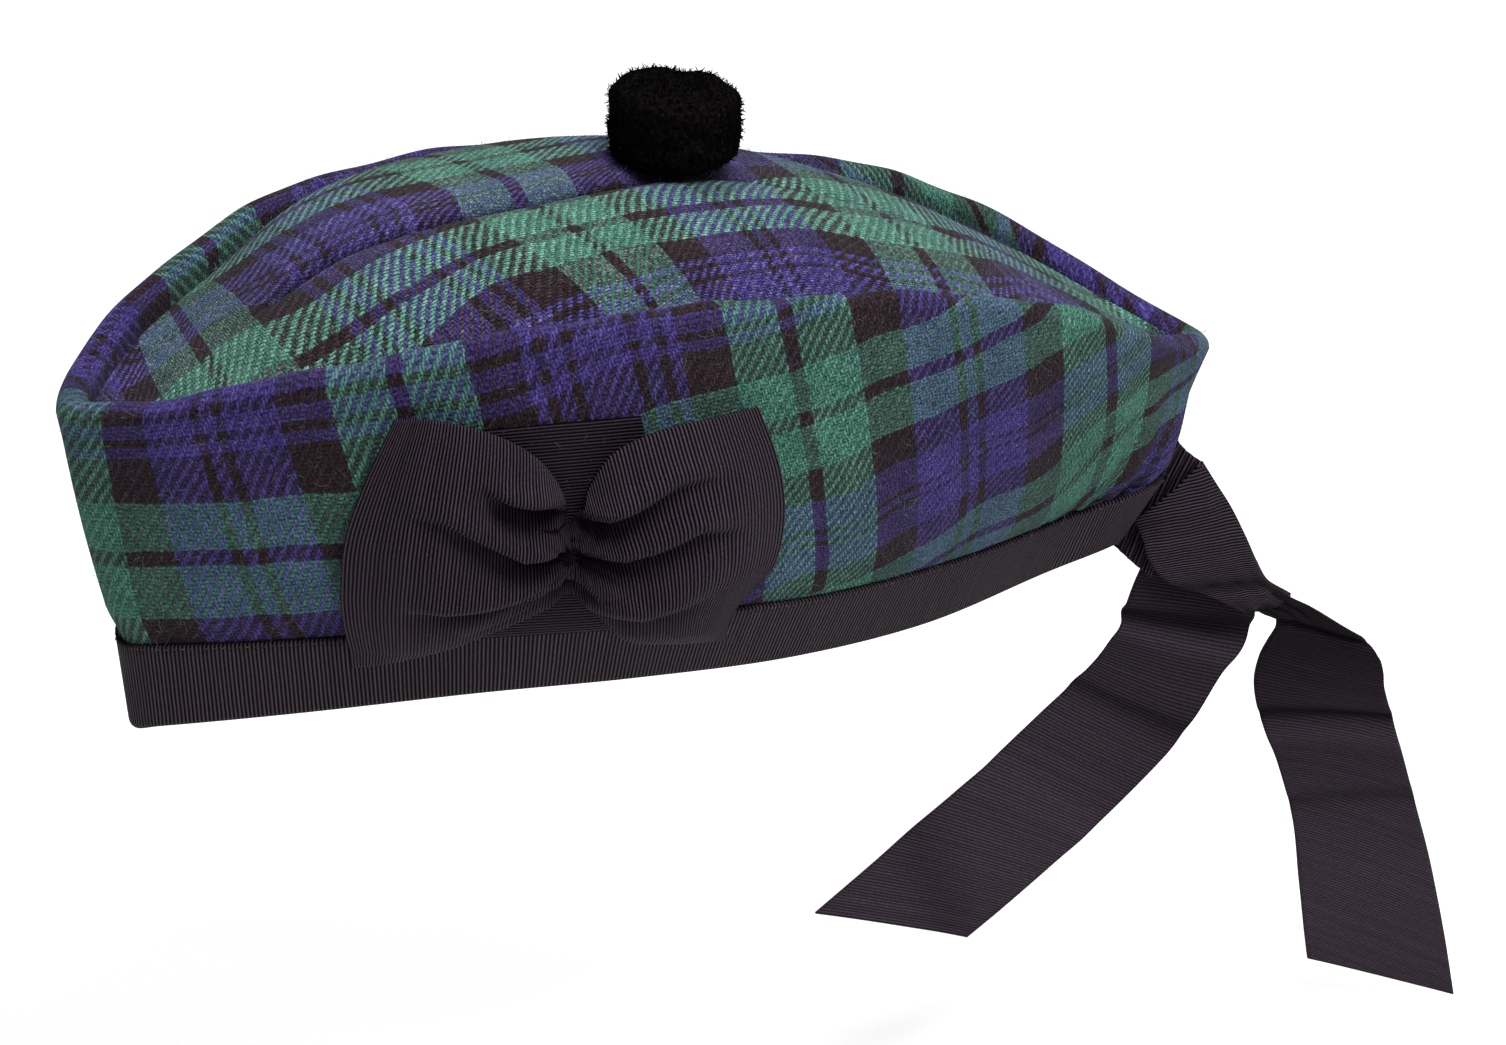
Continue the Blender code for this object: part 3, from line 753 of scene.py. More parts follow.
class Finish(NodeTree):
    """A material with its nodes."""

    def __init__(self, name):
        self.material = bpy.data.materials.new(name)
        self.material.use_nodes = True
        self.tree = self.material.node_tree
        self.shader = self.tree.nodes["Principled BSDF"]

    def cloth_map(self):
        whole = self.node("ShaderNodeUVMap", 0, {"uv_map": "cloth_map"})
        parts = self.node("ShaderNodeSeparateXYZ", 0, None, Vector=whole).node
        return parts.outputs[0], parts.outputs[1]

    def place(self):
        return self.node("ShaderNodeTexCoord", "Object")

    def attribute(self, name):
        return self.node("ShaderNodeAttribute", 2, {"attribute_name": name})

    def noise(self, where, scale, detail=2.0, roughness=0.5):
        values = {"Vector": where, "Scale": scale, "Detail": detail, "Roughness": roughness}
        return self.node("ShaderNodeTexNoise", **values)

    def wander(self, where, scale, detail=2.0, roughness=0.5):
        """Noise to both sides of 0."""
        return self.math("SUBTRACT", self.noise(where, scale, detail, roughness), 0.5)

    def span(self, value, low, high, to_low, to_high):
        """The value's range from low to high, stretched over the range to_low to to_high."""
        values = (value, low, high, to_low, to_high)
        inputs = {f"input{number}": given for number, given in enumerate(values)}
        return self.node("ShaderNodeMapRange", **inputs)

    def mix(self, share, first, second):
        settings = {"data_type": "RGBA"}
        return self.node("ShaderNodeMix", 2, settings, input0=share, input6=first, input7=second)

    def shade(self, colour, value):
        return self.node("ShaderNodeHueSaturation", 0, None, Color=colour, Value=value)

    # Painted shade: darkens the colour by the painted shade that the piece carries.
    def paint_shade(self, colour, darkest):
        return self.shade(colour, self.span(self.attribute("painted_shade"), 0.0, 1.0, 1.0, darkest))

    def brightness(self, colour):
        return self.node("ShaderNodeRGBToBW", 0, None, Color=colour)

    def bump(self, height, distance, strength=1.0):
        values = {"Height": height, "Distance": distance, "Strength": strength}
        return self.node("ShaderNodeBump", **values)

    def surface(self, colour, roughness, normal=None, **constants):
        self.feed(self.shader.inputs["Base Color"], colour)
        self.feed(self.shader.inputs["Roughness"], roughness)
        if normal is not None:
            self.feed(self.shader.inputs["Normal"], normal)
        for key, value in constants.items():
            self.feed(self.shader.inputs[key.replace("_", " ")], value)
        return self.material


def sett_colour(finish, threads, packing, start):
    """The yarn's colour, read at the middle of its thread."""
    whole = finish.total(finish.math("FLOOR", threads), 0.5)
    spot = finish.total(finish.math("DIVIDE", whole, packing), start)
    turned = finish.math("PINGPONG", spot, HALF_SETT)
    ramp = finish.node("ShaderNodeValToRGB").node
    ramp.color_ramp.interpolation = "CONSTANT"
    stops = ramp.color_ramp.elements
    while len(stops) > 1:
        stops.remove(stops[-1])
    passed = 0
    for colour, count in SETT:
        stop = stops[0] if passed == 0 else stops.new(passed / HALF_SETT)
        stop.position = passed / HALF_SETT
        stop.color = (*YARN[colour], 1)
        passed += count
    finish.feed(ramp.inputs[0], finish.math("DIVIDE", turned, HALF_SETT))
    return ramp.outputs[0]


def thread_height(finish, over, along, start):
    """Height of one thread, rounded across it and along the two threads that it covers."""
    round_over = finish.math("SINE", finish.product(finish.math("FRACT", over), math.pi))
    reach = finish.total(along, finish.math("FLOOR", over))
    reach = finish.math("SUBTRACT", finish.math("FLOORED_MODULO", reach, TWILL), start)
    inside = finish.math("MINIMUM", finish.math("MAXIMUM", reach, FLOAT_FROM), FLOAT_TO)
    swell = finish.math("SINE", finish.span(inside, FLOAT_FROM, FLOAT_TO, 0.0, math.pi))
    return finish.product(finish.math("POWER", swell, 0.6), finish.total(round_over, 0.25))


def tartan_finish(name, ridge, glint_strength, tone, blend, darkest=None):
    """Woollen cloth in an even two-over-two twill.

    Ridge is painted shade that darkens the lengthwise floats against the crosswise ones (it
    lightens them when below 0); the glint strength is a painted highlight, pale glints where the
    fibres catch the light on the bright yarns; tone is the brightness, higher on the crown's copy
    as painted top light; blend is how far the two yarns run into each other. Darkest is the
    brightness of the painted shade where it is full, as at the bottom of a fold or crease.
    """
    finish = Finish(name)
    warp_place, weft_place = finish.cloth_map()
    place = finish.place()
    sway = finish.wander(place, 560, 3, 0.6)
    jitter = finish.wander(place, 1900, 2, 0.6)
    drift = finish.product(finish.wander(place, 70, 2), 1.6)
    across = finish.total(
        warp_place, finish.product(sway, 1.6), finish.product(jitter, 1.2), drift,
    )
    down = finish.total(
        finish.product(weft_place, WEFT_PACKING),
        finish.product(sway, -1.2), finish.product(jitter, -1.0), drift,
    )
    warp_high = thread_height(finish, across, down, 0.0)
    weft_high = thread_height(finish, down, across, TWILL / 2)
    lead = finish.math("SUBTRACT", warp_high, weft_high)
    warp_share = finish.span(lead, -0.40, 0.40, blend, 1 - blend)
    warp_colour = sett_colour(finish, across, 1.0, 0.0)
    weft_colour = sett_colour(finish, down, WEFT_PACKING, HALF_SETT / 2 + 0.5)
    yarn = finish.mix(warp_share, weft_colour, warp_colour)

    height = finish.math("MAXIMUM", warp_high, weft_high)
    fibre = finish.noise(place, 1500, 4, 0.75)
    # Painted shade and highlight: darker in the gaps between threads and, by the ridge, on one set
    # of floats; with random fibre grain and tone.
    light = finish.product(
        finish.span(height, 0.15, 1.1, 0.25 * tone, 1.40 * tone),
        finish.span(fibre, 0.32, 0.68, 0.20, 2.05),
        finish.span(finish.noise(place, 110, 3), 0.3, 0.7, 0.82, 1.18),
        finish.span(lead, -0.5, 0.5, 1 + ridge, 1 - ridge),
    )
    yarn = finish.shade(yarn, light)
    both = finish.total(finish.brightness(warp_colour), finish.brightness(weft_colour))
    # Painted highlight: pale glints where the fibres catch the light, most on the bright yarns.
    painted_glint = finish.product(
        light,
        finish.span(finish.noise(place, 1100, 3, 0.8), 0.50, 0.72, 0.0, glint_strength),
        finish.span(both, 0.03, 0.10, 0.10, 1.0),
    )
    yarn = finish.mix(painted_glint, yarn, finish.mix(0.6, finish.shade(yarn, 1.5), FIBRE_GLINT))
    if darkest is not None:
        yarn = finish.paint_shade(yarn, darkest)
    speck = finish.span(finish.noise(place, 2300, 2, 0.6), 0.64, 0.72, 0.0, 0.55)
    yarn = finish.mix(speck, yarn, finish.mix(0.5, yarn, RED_FIBRE))
    normal = finish.bump(finish.total(height, finish.product(fibre, 0.7)), 0.00030, 0.9)
    return finish.surface(
        yarn, 0.95, normal, Specular_IOR_Level=0.03,
        Sheen_Weight=0.07, Sheen_Roughness=0.45, Sheen_Tint=(0.62, 0.66, 0.80),
    )


def grosgrain_finish(name, colour, rib, gloss=0.55, relief=1.0, darkest=None):
    """Ribbed cloth: the map's second direction crosses the ribs. The map is in millimetres.

    Rib is the ribs' pitch, relief how far they stand out, in the bump and in the painted shade
    between them, and darkest the brightness of the painted shade where it is full, as at the
    bottom of a fold.
    """
    finish = Finish(name)
    over, along = finish.cloth_map()
    place = finish.place()
    drift = finish.product(finish.wander(place, 60, 2), 0.5)
    ribs = finish.math("DIVIDE", finish.total(along, drift), rib)
    wave = finish.math("SINE", finish.product(finish.math("FRACT", ribs), math.pi))
    ends = finish.vector(finish.product(over, 6.0), finish.product(ribs, 0.9))
    ends = finish.noise(ends, 1.0, 2, 0.6)
    each_rib = finish.noise(finish.vector(finish.math("FLOOR", ribs)), 3.7, 0)
    # Painted shade in the gaps between the ribs and painted highlight on their tops, with random
    # tone along the ribs and in the fibre.
    light = finish.product(
        finish.span(wave, 0.45, 0.95, 1.2 - 1.2 * relief, 1.2 + relief),
        finish.span(ends, 0.3, 0.7, 0.60, 1.40),
        finish.span(each_rib, 0.3, 0.7, 0.88, 1.12),
        finish.span(finish.noise(place, 3000, 2, 0.6), 0.3, 0.7, 0.75, 1.25),
    )
    wear = finish.span(finish.noise(place, 900, 3, 0.7), 0.64, 0.80, 0.0, 0.35)
    cloth = finish.mix(wear, finish.shade(colour, light), RIBBON_WEAR)
    if darkest is not None:
        cloth = finish.paint_shade(cloth, darkest)
    height = finish.total(wave, finish.product(ends, 0.25))
    normal = finish.bump(height, 0.00040 * rib * relief)
    rough = finish.span(ends, 0.3, 0.7, gloss - 0.07, gloss + 0.09)
    return finish.surface(
        cloth, rough, normal, Specular_IOR_Level=0.03,
        Sheen_Weight=0.01, Sheen_Roughness=0.35, Sheen_Tint=(0.80, 0.72, 0.80),
    )


def pile_finish():
    finish = Finish("black pile")
    place = finish.place()
    tone = finish.span(finish.noise(place, 900, 3, 0.6), 0.35, 0.72, 0.3, 2.2)
    rust = finish.span(finish.noise(place, 1300, 2, 0.6), 0.64, 0.72, 0.0, 0.40)
    pile = finish.mix(rust, finish.shade(PILE_BLACK, tone), PILE_RUST)
    return finish.surface(pile, 0.95, Specular_IOR_Level=0.0, Sheen_Weight=0.0)


def wool_finish():
    finish = Finish("loose wool")
    place = finish.place()
    tint = finish.span(finish.noise(place, 90, 2), 0.42, 0.58, 0.0, 1.0)
    light = finish.span(finish.noise(place, 700, 2), 0.35, 0.65, 0.5, 2.2)
    wool = finish.shade(finish.mix(tint, BLUE_WOOL, GREEN_WOOL), light)
    return finish.surface(wool, 0.9, Specular_IOR_Level=0.1)


def thread_finish():
    finish = Finish("sewing thread")
    light = finish.span(finish.noise(finish.place(), 500, 2), 0.35, 0.65, 0.4, 1.6)
    return finish.surface(finish.shade(STITCH_BROWN, light), 0.7, Specular_IOR_Level=0.15)


# Growing many small parts

class Growth(NodeTree):
    """A Geometry Nodes tree with named sizes."""

    def __init__(self, name, **sizes):
        self.tree = bpy.data.node_groups.new(name, "GeometryNodeTree")
        face = self.tree.interface
        face.new_socket("Ground", in_out="INPUT", socket_type="NodeSocketGeometry")
        face.new_socket("Grown", in_out="OUTPUT", socket_type="NodeSocketGeometry")
        self.sizes = {}
        for title, value in sizes.items():
            made = face.new_socket(title, in_out="INPUT", socket_type="NodeSocketFloat")
            self.sizes[made.identifier] = value
        self.inputs = self.tree.nodes.new("NodeGroupInput").outputs
        self.ground = self.inputs["Ground"]

    def random(self, low, high, seed):
        values = {"input2": low, "input3": high, "Seed": seed}
        return self.node("FunctionNodeRandomValue", 1, None, **values)

    def askew(self, way, reach, seed):
        """The way, turned at random by up to the reach."""
        kind = {"data_type": "FLOAT_VECTOR"}
        values = {"input0": (-reach,) * 3, "input1": (reach,) * 3, "Seed": seed}
        off = self.node("FunctionNodeRandomValue", 0, kind, **values)
        return self.node("ShaderNodeVectorMath", 0, {"operation": "ADD"}, input0=way, input1=off)

    def aligned(self, axis, way):
        return self.node("FunctionNodeAlignRotationToVector", 0, {"axis": axis}, Vector=way)

    def finish(self, parts, material):
        realized = self.node("GeometryNodeRealizeInstances", 0, None, Geometry=parts)
        smooth = self.node("GeometryNodeSetShadeSmooth", 0, None, Geometry=realized)
        dressed = self.node("GeometryNodeSetMaterial", 0, None, Geometry=smooth, Material=material)
        end = self.tree.nodes.new("NodeGroupOutput")
        self.feed(end.inputs[0], dressed)
        return self

    def grow(self, name, ground):
        """The plain mesh that grows on the ground, as a piece of its own."""
        modifier = ground.modifiers.new("growth", "NODES")
        modifier.node_group = self.tree
        for identifier, value in self.sizes.items():
            modifier[identifier] = value
        graph = bpy.context.evaluated_depsgraph_get()
        mesh = bpy.data.meshes.new_from_object(ground.evaluated_get(graph), depsgraph=graph)
        ground.modifiers.remove(modifier)
        bpy.data.objects.remove(ground)
        piece = add_object(name, mesh)
        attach(piece, "root")
        return piece


def strand_growth(name, material, density, length, thickness, bend, spread, bends=3, seed=1):
    """Strands that stand on a surface, leaning up to the spread and bent over at their ends."""
    growth = Growth(name, Density=density, Length=length, Thickness=thickness, Bend=bend)
    size = growth.inputs
    spots = growth.node(
        "GeometryNodeDistributePointsOnFaces", 0, None,
        Mesh=growth.ground, Density=size["Density"], Seed=seed,
    ).node
    turn = growth.aligned("Z", growth.askew(spots.outputs["Normal"], spread, seed + 1))
    spin = growth.random(0, math.tau, seed + 2)
    spin = growth.node("FunctionNodeAxisAngleToRotation", 0, None, Axis=(0, 0, 1), Angle=spin)
    turn = growth.node(
        "FunctionNodeRotateRotation", 0, {"rotation_space": "LOCAL"}, Rotation=turn, Rotate_By=spin,
    )
    tall = growth.product(size["Length"], STRAND_BEND_AT)
    over = growth.product(size["Length"], size["Bend"])
    line = growth.node(
        "GeometryNodeCurveQuadraticBezier", 0, None, Resolution=bends, Start=(0, 0, 0),
        Middle=growth.vector(0.0, 0.0, tall), End=growth.vector(over, 0.0, size["Length"]),
    )
    taper = growth.product(growth.node("GeometryNodeSplineParameter"), STRAND_TAPER)
    taper = growth.math("SUBTRACT", 1.0, taper)
    line = growth.node("GeometryNodeSetCurveRadius", 0, None, Curve=line, Radius=taper)
    radius = growth.product(size["Thickness"], 0.5)
    ring = growth.node("GeometryNodeCurvePrimitiveCircle", 0, None, Resolution=3, Radius=radius)
    strand = growth.node(
        "GeometryNodeCurveToMesh", 0, None, Curve=line, Profile_Curve=ring, Scale=taper,
    )
    parts = growth.node(
        "GeometryNodeInstanceOnPoints", 0, None, Points=spots.outputs[0], Instance=strand,
        Rotation=turn, Scale=growth.random(0.55, 1.15, seed + 3),
    )
    return growth.finish(parts, material)


def stitch_growth(name, material):
    """Short stitches at an even pitch along an edge, each a little askew."""
    growth = Growth(name, Pitch=STITCH_PITCH, Length=STITCH_LENGTH, Thickness=STITCH_THICKNESS)
    size = growth.inputs
    line = growth.node("GeometryNodeMeshToCurve", 0, None, Mesh=growth.ground)
    line = growth.node(
        "GeometryNodeResampleCurve", 0, {"mode": "LENGTH"}, Curve=line, Length=size["Pitch"],
    )
    way = growth.node("GeometryNodeInputTangent")
    turn = growth.aligned("X", growth.askew(way, STITCH_SLANT, 5))
    bead = growth.node("GeometryNodeMeshUVSphere", 0, None, Segments=6, Rings=4, Radius=0.5)
    shape = growth.vector(size["Length"], size["Thickness"], size["Thickness"])
    shape = growth.node(
        "ShaderNodeVectorMath", 0, {"operation": "MULTIPLY"},
        input0=shape, input1=growth.random(0.6, 1.2, 6),
    )
    parts = growth.node(
        "GeometryNodeInstanceOnPoints", 0, None,
        Points=line, Instance=bead, Rotation=turn, Scale=shape,
    )
    return growth.finish(parts, material)


# Cap side

def wave_sum(station, sides, waves):
    """A few long ripples: each has its count along a side, its share of turn and its size."""
    total = np.zeros_like(station)
    for count, start, size in waves:
        total += size * np.sin(math.tau * (count * station + start + FAR_TURN * (sides > 0)))
    return total


UNDULATIONS = ((2.3, 0.10, 0.0005), (5.1, 0.45, 0.0004), (9.7, 0.80, 0.00025))
PUCKERS = ((31, 0.0, 0.00030), (47, 0.3, 0.00022), (19, 0.6, 0.00025))
RIM_RIPPLES = ((6.3, 0.2, 0.0005), (13.1, 0.7, 0.0003))
TUCKED_RISES = (BAND_CLOTH + GAP, BAND_HEIGHT * 0.6, BAND_HEIGHT - 0.002, BAND_HEIGHT + GAP)


def cloth_down(station, share):
    """Crosswise place in the sett at a share of the side's height."""
    names = ("foot", "lower", "middle", "upper", "rim")
    columns = [read_row(WEFT_ROWS, name, station) for name in names]
    return hermite(WEFT_SHARES, columns, share)


def bow_clearance(station, rise):
    """Falls to 0 under the bow, so that the cloth lies smooth behind it."""
    near = np.maximum(np.abs(station - BOW_STATION) / BOW_CLEARANCE[0], rise / BOW_CLEARANCE[1])
    return ease((near - 1.0) / 0.2)


def wall_row(stations, sides, share):
    """Points at a share of the way up from the headband to the rim."""
    rise = side_height(stations) * share
    tucked = (BAND_CLOTH + GAP) * (1 - ease(share / TUCK_SHARE))
    drawn = GATHER_DEPTH * ease((stations - GATHER_START) / GATHER_SPREAD) * (1 - share)
    ripple = drawn * np.cos(math.tau * GATHERS * stations)
    low = math.exp(-share / PUCKER_REACH) * ease(share / PUCKER_START)
    soft = wave_sum(stations, sides, PUCKERS) * low
    twisted = stations + WALL_TWIST * share
    soft += wave_sum(twisted, sides, UNDULATIONS) * math.sin(math.pi * share)
    push = soft * bow_clearance(stations, rise) - tucked - drawn + ripple
    return side_point(stations, rise) + scaled(outward(rim_at, stations), push)


def side_threads(stations, sides, down):
    """The cloth map: places in the sett along the side and down it."""
    far = (sides > 0) * ease(stations / FAR_EASING) * ease((1 - stations) / FAR_EASING)
    along = SIDE_FIRST_THREAD + SIDE_THREADS * stations + FAR_LEAD * far
    climbs = np.clip(np.arange(down.shape[1]) / (WALL_ROWS + len(TUCKED_RISES)), 0, 1)
    fade = ease((LEAN_END - stations) / 0.15) * ease(stations / 0.10)
    along = along[:, None] + RIM_LEAN * fade[:, None] * climbs
    return np.stack([along, down - FAR_DROP * far[:, None]], -1)


def side_grid():
    """The side in rows: up behind the headband, up the wall, over the rim and down inside."""
    stations, sides = round_stations(SIDE_COLUMNS)
    climb, face = band_axes(stations)
    foot = foot_at(stations)
    foot_thread = cloth_down(stations, np.zeros_like(stations))
    rows = [foot + climb * rise - face * (BAND_CLOTH + GAP) for rise in TUCKED_RISES]
    maps = [foot_thread + (BAND_HEIGHT - rise) / THREAD for rise in TUCKED_RISES]
    for row in range(1, WALL_ROWS + 1):
        share = (row / WALL_ROWS) ** WALL_CROWDING
        rows.append(wall_row(stations, sides, share))
        maps.append(cloth_down(stations, np.full_like(stations, share)))

    out = outward(rim_at, stations)
    rim = rim_at(stations)
    radius = RIM_FOLD / 2
    centre = rim - UP * radius - out * radius
    wobble = wave_sum(stations, sides, RIM_RIPPLES)
    end_thread = cloth_down(stations, np.ones_like(stations))
    top_thread = cloth_down(stations, np.full_like(stations, WEFT_SHARES[-1]))
    for row in range(1, FOLD_ROWS + 1):
        angle = math.pi * row / FOLD_ROWS
        turn = out * (radius * math.cos(angle)) + UP * (radius * math.sin(angle))
        rows.append(centre + turn + scaled(UP, wobble * math.sin(angle) ** 2))
        quarter = 2 * angle / math.pi
        beyond = top_thread - radius * (angle - math.pi / 2) / THREAD
        rising = end_thread + (top_thread - end_thread) * quarter
        maps.append(np.where(quarter < 1, rising, beyond))

    last_thread = top_thread - radius * math.pi / 2 / THREAD
    inner = centre - out * radius
    depth = rim_depth(stations)
    seam = rim - out * RIM_FOLD - scaled(UP, depth)
    for row in range(1, LEG_ROWS + 1):
        share = row / LEG_ROWS
        rows.append(inner + (seam - inner) * share)
        maps.append(last_thread - share * (depth - radius) / THREAD)
    points = on_side(np.stack(rows, 1), sides[:, None])
    return points, side_threads(stations, sides, np.stack(maps, 1))


def make_cap_side(finish, wool):
    points, threads = side_grid()
    bare = slice(len(TUCKED_RISES) + 1, None)  # the rows that the headband leaves free
    ground = sheet_mesh("side_ground", points[:, bare], threads[:, bare], finish, ring=True)
    wool.grow("side_wool", ground)
    piece = sheet_mesh("cap_side", points, threads, finish, ring=True)
    thicken(piece, CLOTH, -1)
    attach(piece, "root")
    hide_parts("side_wall")
    return piece


# Crown

def crown_weft(station, place):
    """Threads across from the near green stripe's middle, at places in millimetres."""
    edges = np.stack([read_row(CROWN_STRIPES, name, station) for name in STRIPE_THREADS])
    counts = np.array(list(STRIPE_THREADS.values()))
    span = np.clip((edges[:, None] <= place[None, None]).sum(0)[0] - 1, 0, len(counts) - 2)
    low = np.take_along_axis(edges, span[None], 0)[0]
    high = np.take_along_axis(edges, span[None] + 1, 0)[0]
    return counts[span] + (counts[span + 1] - counts[span]) * (place - low) / (high - low)


def crown_grid():
    shares = np.arange(1, CROWN_COLUMNS) / CROWN_COLUMNS
    stations = shares - TIP_CROWDING * np.sin(math.tau * shares) / math.tau
    across = np.linspace(-1, 1, CROWN_ROWS + 1)
    station, across = np.meshgrid(stations, across, indexing="ij")
    edge = crown_edge(station)
    y = -edge[..., 1] * across
    middle = section("crown", station) * CROWN_HEIGHT
    rise = (middle - edge[..., 2]) * (1 - np.abs(across) ** CROWN_FULLNESS)
    off = y - read_row(CREASE_LINE, "middle", station) / 1000
    share = read_row(CREASE_LINE, "depth", station)
    crease = share * CREASE_DEPTH * np.exp(-np.abs(off / CREASE_HALF_WIDTH))
    points = vector(edge[..., 0], y, edge[..., 2] + rise - crease)
    slant = read_row(CROWN_THREADS, "slant", station)
    slant = slant * np.clip((-across - SLANT_FROM) / SLANT_SPREAD, 0, 1.15) ** 1.5
    slant = slant + read_row(CROWN_THREADS, "far", station) * np.maximum(across, 0)
    warp = read_row(CROWN_THREADS, "warp", station - slant)
    threads = np.stack([warp, CROWN_FIRST_THREAD - crown_weft(station, y * 1000)], -1)
    # Painted shade along the crease, darker than its shallow dip alone makes it.
    painted_shade = 2 * share * np.exp(-np.abs(off / CREASE_SHADE))
    return points, threads, painted_shade


def make_crown(finish, wool):
    points, threads, painted_shade = crown_grid()
    wool.grow("crown_wool", sheet_mesh("crown_ground", points, threads, finish))
    index = grid_index(points)
    first, last = index[0].tolist(), index[-1].tolist()
    front_tip, back_tip = index.size, index.size + 1
    faces = quads_between(index[:-1], index[1:]).tolist()
    faces += [(front_tip, one, other) for one, other in zip(first, first[1:])]
    faces += [(back_tip, other, one) for one, other in zip(last, last[1:])]
    tips = crown_edge(np.array([0.0, 1.0]))
    middle = len(first) // 2
    points = np.concatenate([points.reshape(-1, 3), tips])
    maps = [threads.reshape(-1, 2), threads[:1, middle], threads[-1:, middle]]
    piece = cloth_mesh("crown_top", points, faces, np.concatenate(maps), finish)
    mark_painted_shade(piece, np.append(painted_shade, [0, 0]))
    thicken(piece, CLOTH, -1)
    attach(piece, "root")
    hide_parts("crown")
    return piece


# Headband

def band_profile():
    """Outline of the folded band as distance back from its face and rise from its edge."""
    across = 2 * BAND_CLOTH + CLOTH + 2 * GAP
    outer, inner = across / 2, across / 2 - BAND_CLOTH
    outline = [(0, rise) for rise in np.linspace(BAND_HEIGHT, outer, 10)]
    turns = np.linspace(0, math.pi, 13)[1:-1]
    outline += [(outer - outer * math.cos(a), outer - outer * math.sin(a)) for a in turns]
    outline += [(across, rise) for rise in np.linspace(outer, BAND_TURNING, 4)]
    outline += [(across - BAND_CLOTH, rise) for rise in np.linspace(BAND_TURNING, outer, 4)]
    outline += [(outer + inner * math.cos(a), outer - inner * math.sin(a)) for a in turns]
    outline += [(BAND_CLOTH, rise) for rise in np.linspace(outer, BAND_HEIGHT, 10)]
    return outline


def make_headband(finish, stitches):
    stations, sides = round_stations(SIDE_COLUMNS)
    kept = stations <= SLIT_STATION
    order = [np.flatnonzero((sides == side) & kept)[::-1] for side in (-1, 1)]
    order = np.concatenate(order)
    stations, sides = stations[order], sides[order]
    climb, face = band_axes(stations)
    foot = foot_at(stations)
    profile = band_profile()
    grid = [foot + climb * rise - face * back for back, rise in profile]
    points = on_side(np.stack(grid, 1), sides[:, None])
    hem = on_side(foot + climb * (BAND_HEIGHT - HEM_INSET) + face * HEM_PROUD, sides)
    line = bpy.data.meshes.new("hem_line")
    line.from_pydata(hem.tolist(), [(k, k + 1) for k in range(len(hem) - 1)], [])
    stitches.grow("band_stitches", add_object("hem_line", line))
    along = run_lengths(points[:, :1])[:, 0] * 1000
    walk = run_lengths(np.array([(back, 0, rise) for back, rise in profile])[:, None])[:, 0] * 1000
    threads = np.stack(np.broadcast_arrays(walk[None, :], along[:, None]), -1)
    index = grid_index(points)
    turned = np.roll(index, -1, 1)
    faces = np.stack([index[:-1], index[1:], turned[1:], turned[:-1]], -1).reshape(-1, 4).tolist()
    for column, turn in ((0, 1), (-1, -1)):
        ends = index[column].tolist()
        pairs = range(len(ends) // 2 - 1)
        faces += [(ends[k], ends[k + 1], ends[-k - 2], ends[-k - 1])[::turn] for k in pairs]
    piece = cloth_mesh("head_band", points, faces, threads, finish)
    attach(piece, "root")
    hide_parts("headband")
    return piece


# Toorie

def toorie_shape(name, finish, corners, proud):
    """The toorie's squared, cleft body, standing proud of its own core."""
    low, high = (np.array(corner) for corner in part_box("toorie"))
    middle, half = (low + high) / 2, (high - low) / 2
    reach = half - PILE_LENGTH + proud
    shape = bmesh.new()
    bmesh.ops.create_icosphere(shape, subdivisions=corners, radius=1)
    for corner in shape.verts:
        sides = (math.hypot(corner.co.x, corner.co.y), abs(corner.co.z))
        square = sum(part ** TOORIE_SQUARENESS for part in sides) ** (1 / TOORIE_SQUARENESS)
        lump = math.prod(
            math.sin(turns * way + start) for way, (turns, start) in zip(corner.co, TOORIE_LUMPS)
        )
        x, y, z = corner.co * (corner.co.length / square) * (1 + TOORIE_LUMP * lump)
        cleft = CLEFT_DEPTH * max(z, 0) * math.exp(-(((x - CLEFT_SHIFT) / CLEFT_WIDTH) ** 2))
        cleft += TOORIE_TILT * max(z, 0) * x
        spread = TOORIE_GIRTH + TOORIE_SPREAD * x
        corner.co = Vector((x * reach[0] * spread, y * reach[1] * spread, z * reach[2] - cleft))
        corner.co += Vector(middle)
    mesh = bpy.data.meshes.new(name)
    shape.to_mesh(mesh)
    shape.free()
    mesh.materials.append(finish)
    mesh.shade_smooth()
    return add_object(name, mesh)


def make_toorie(finish, tufts):
    tufts.grow("toorie_tufts", toorie_shape("tuft_ground", finish, 4, 0.0))
    piece = toorie_shape("toorie_pile", finish, 5, CORE_PROUD)
    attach(piece, "root")
    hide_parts("toorie")
    return piece


# Bow

def bow_stations(rises, alongs):
    """The stations reached along the side at each height, going away from the bow's middle."""
    heights = np.linspace(-0.02, 0.08, 41)
    walk = np.linspace(BOW_STATION - BOW_WALK, BOW_STATION + BOW_WALK, 251)
    station, rise = np.meshgrid(walk, heights, indexing="ij")
    lengths = run_lengths(side_point(station, rise))
    lengths = lengths - lengths[len(walk) // 2]
    reached = np.stack([np.interp(alongs, lengths[:, k], walk) for k in range(len(heights))])
    level = np.clip((rises - heights[0]) / (heights[1] - heights[0]), 0, len(heights) - 1.001)
    below = level.astype(int)
    first = np.take_along_axis(reached, below[None], 0)[0]
    second = np.take_along_axis(reached, below[None] + 1, 0)[0]
    return first + (second - first) * (level - below)


def side_place(along, rise, stand):
    station = bow_stations(rise, along)
    return side_point(station, rise) + scaled(side_face(station, rise), stand)


def make_backing(finish):
    columns, rows = BACKING_STEPS[0] + 1, BACKING_STEPS[1] + 1
    along, rise = np.meshgrid(
        (np.arange(columns) / BACKING_STEPS[0] - 0.5) * BACKING_WIDTH,
        np.linspace(BACKING_FOOT, BACKING_TOP, rows), indexing="ij",
    )
    points = side_place(along, rise, np.full_like(along, GAP + RIBBON))
    piece = sheet_mesh("bow_ribbon", points, np.stack([along, rise], -1) * 1000, finish)
    thicken(piece, RIBBON, -1)
    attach(piece, "root")
    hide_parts("bow_backing")
    return piece


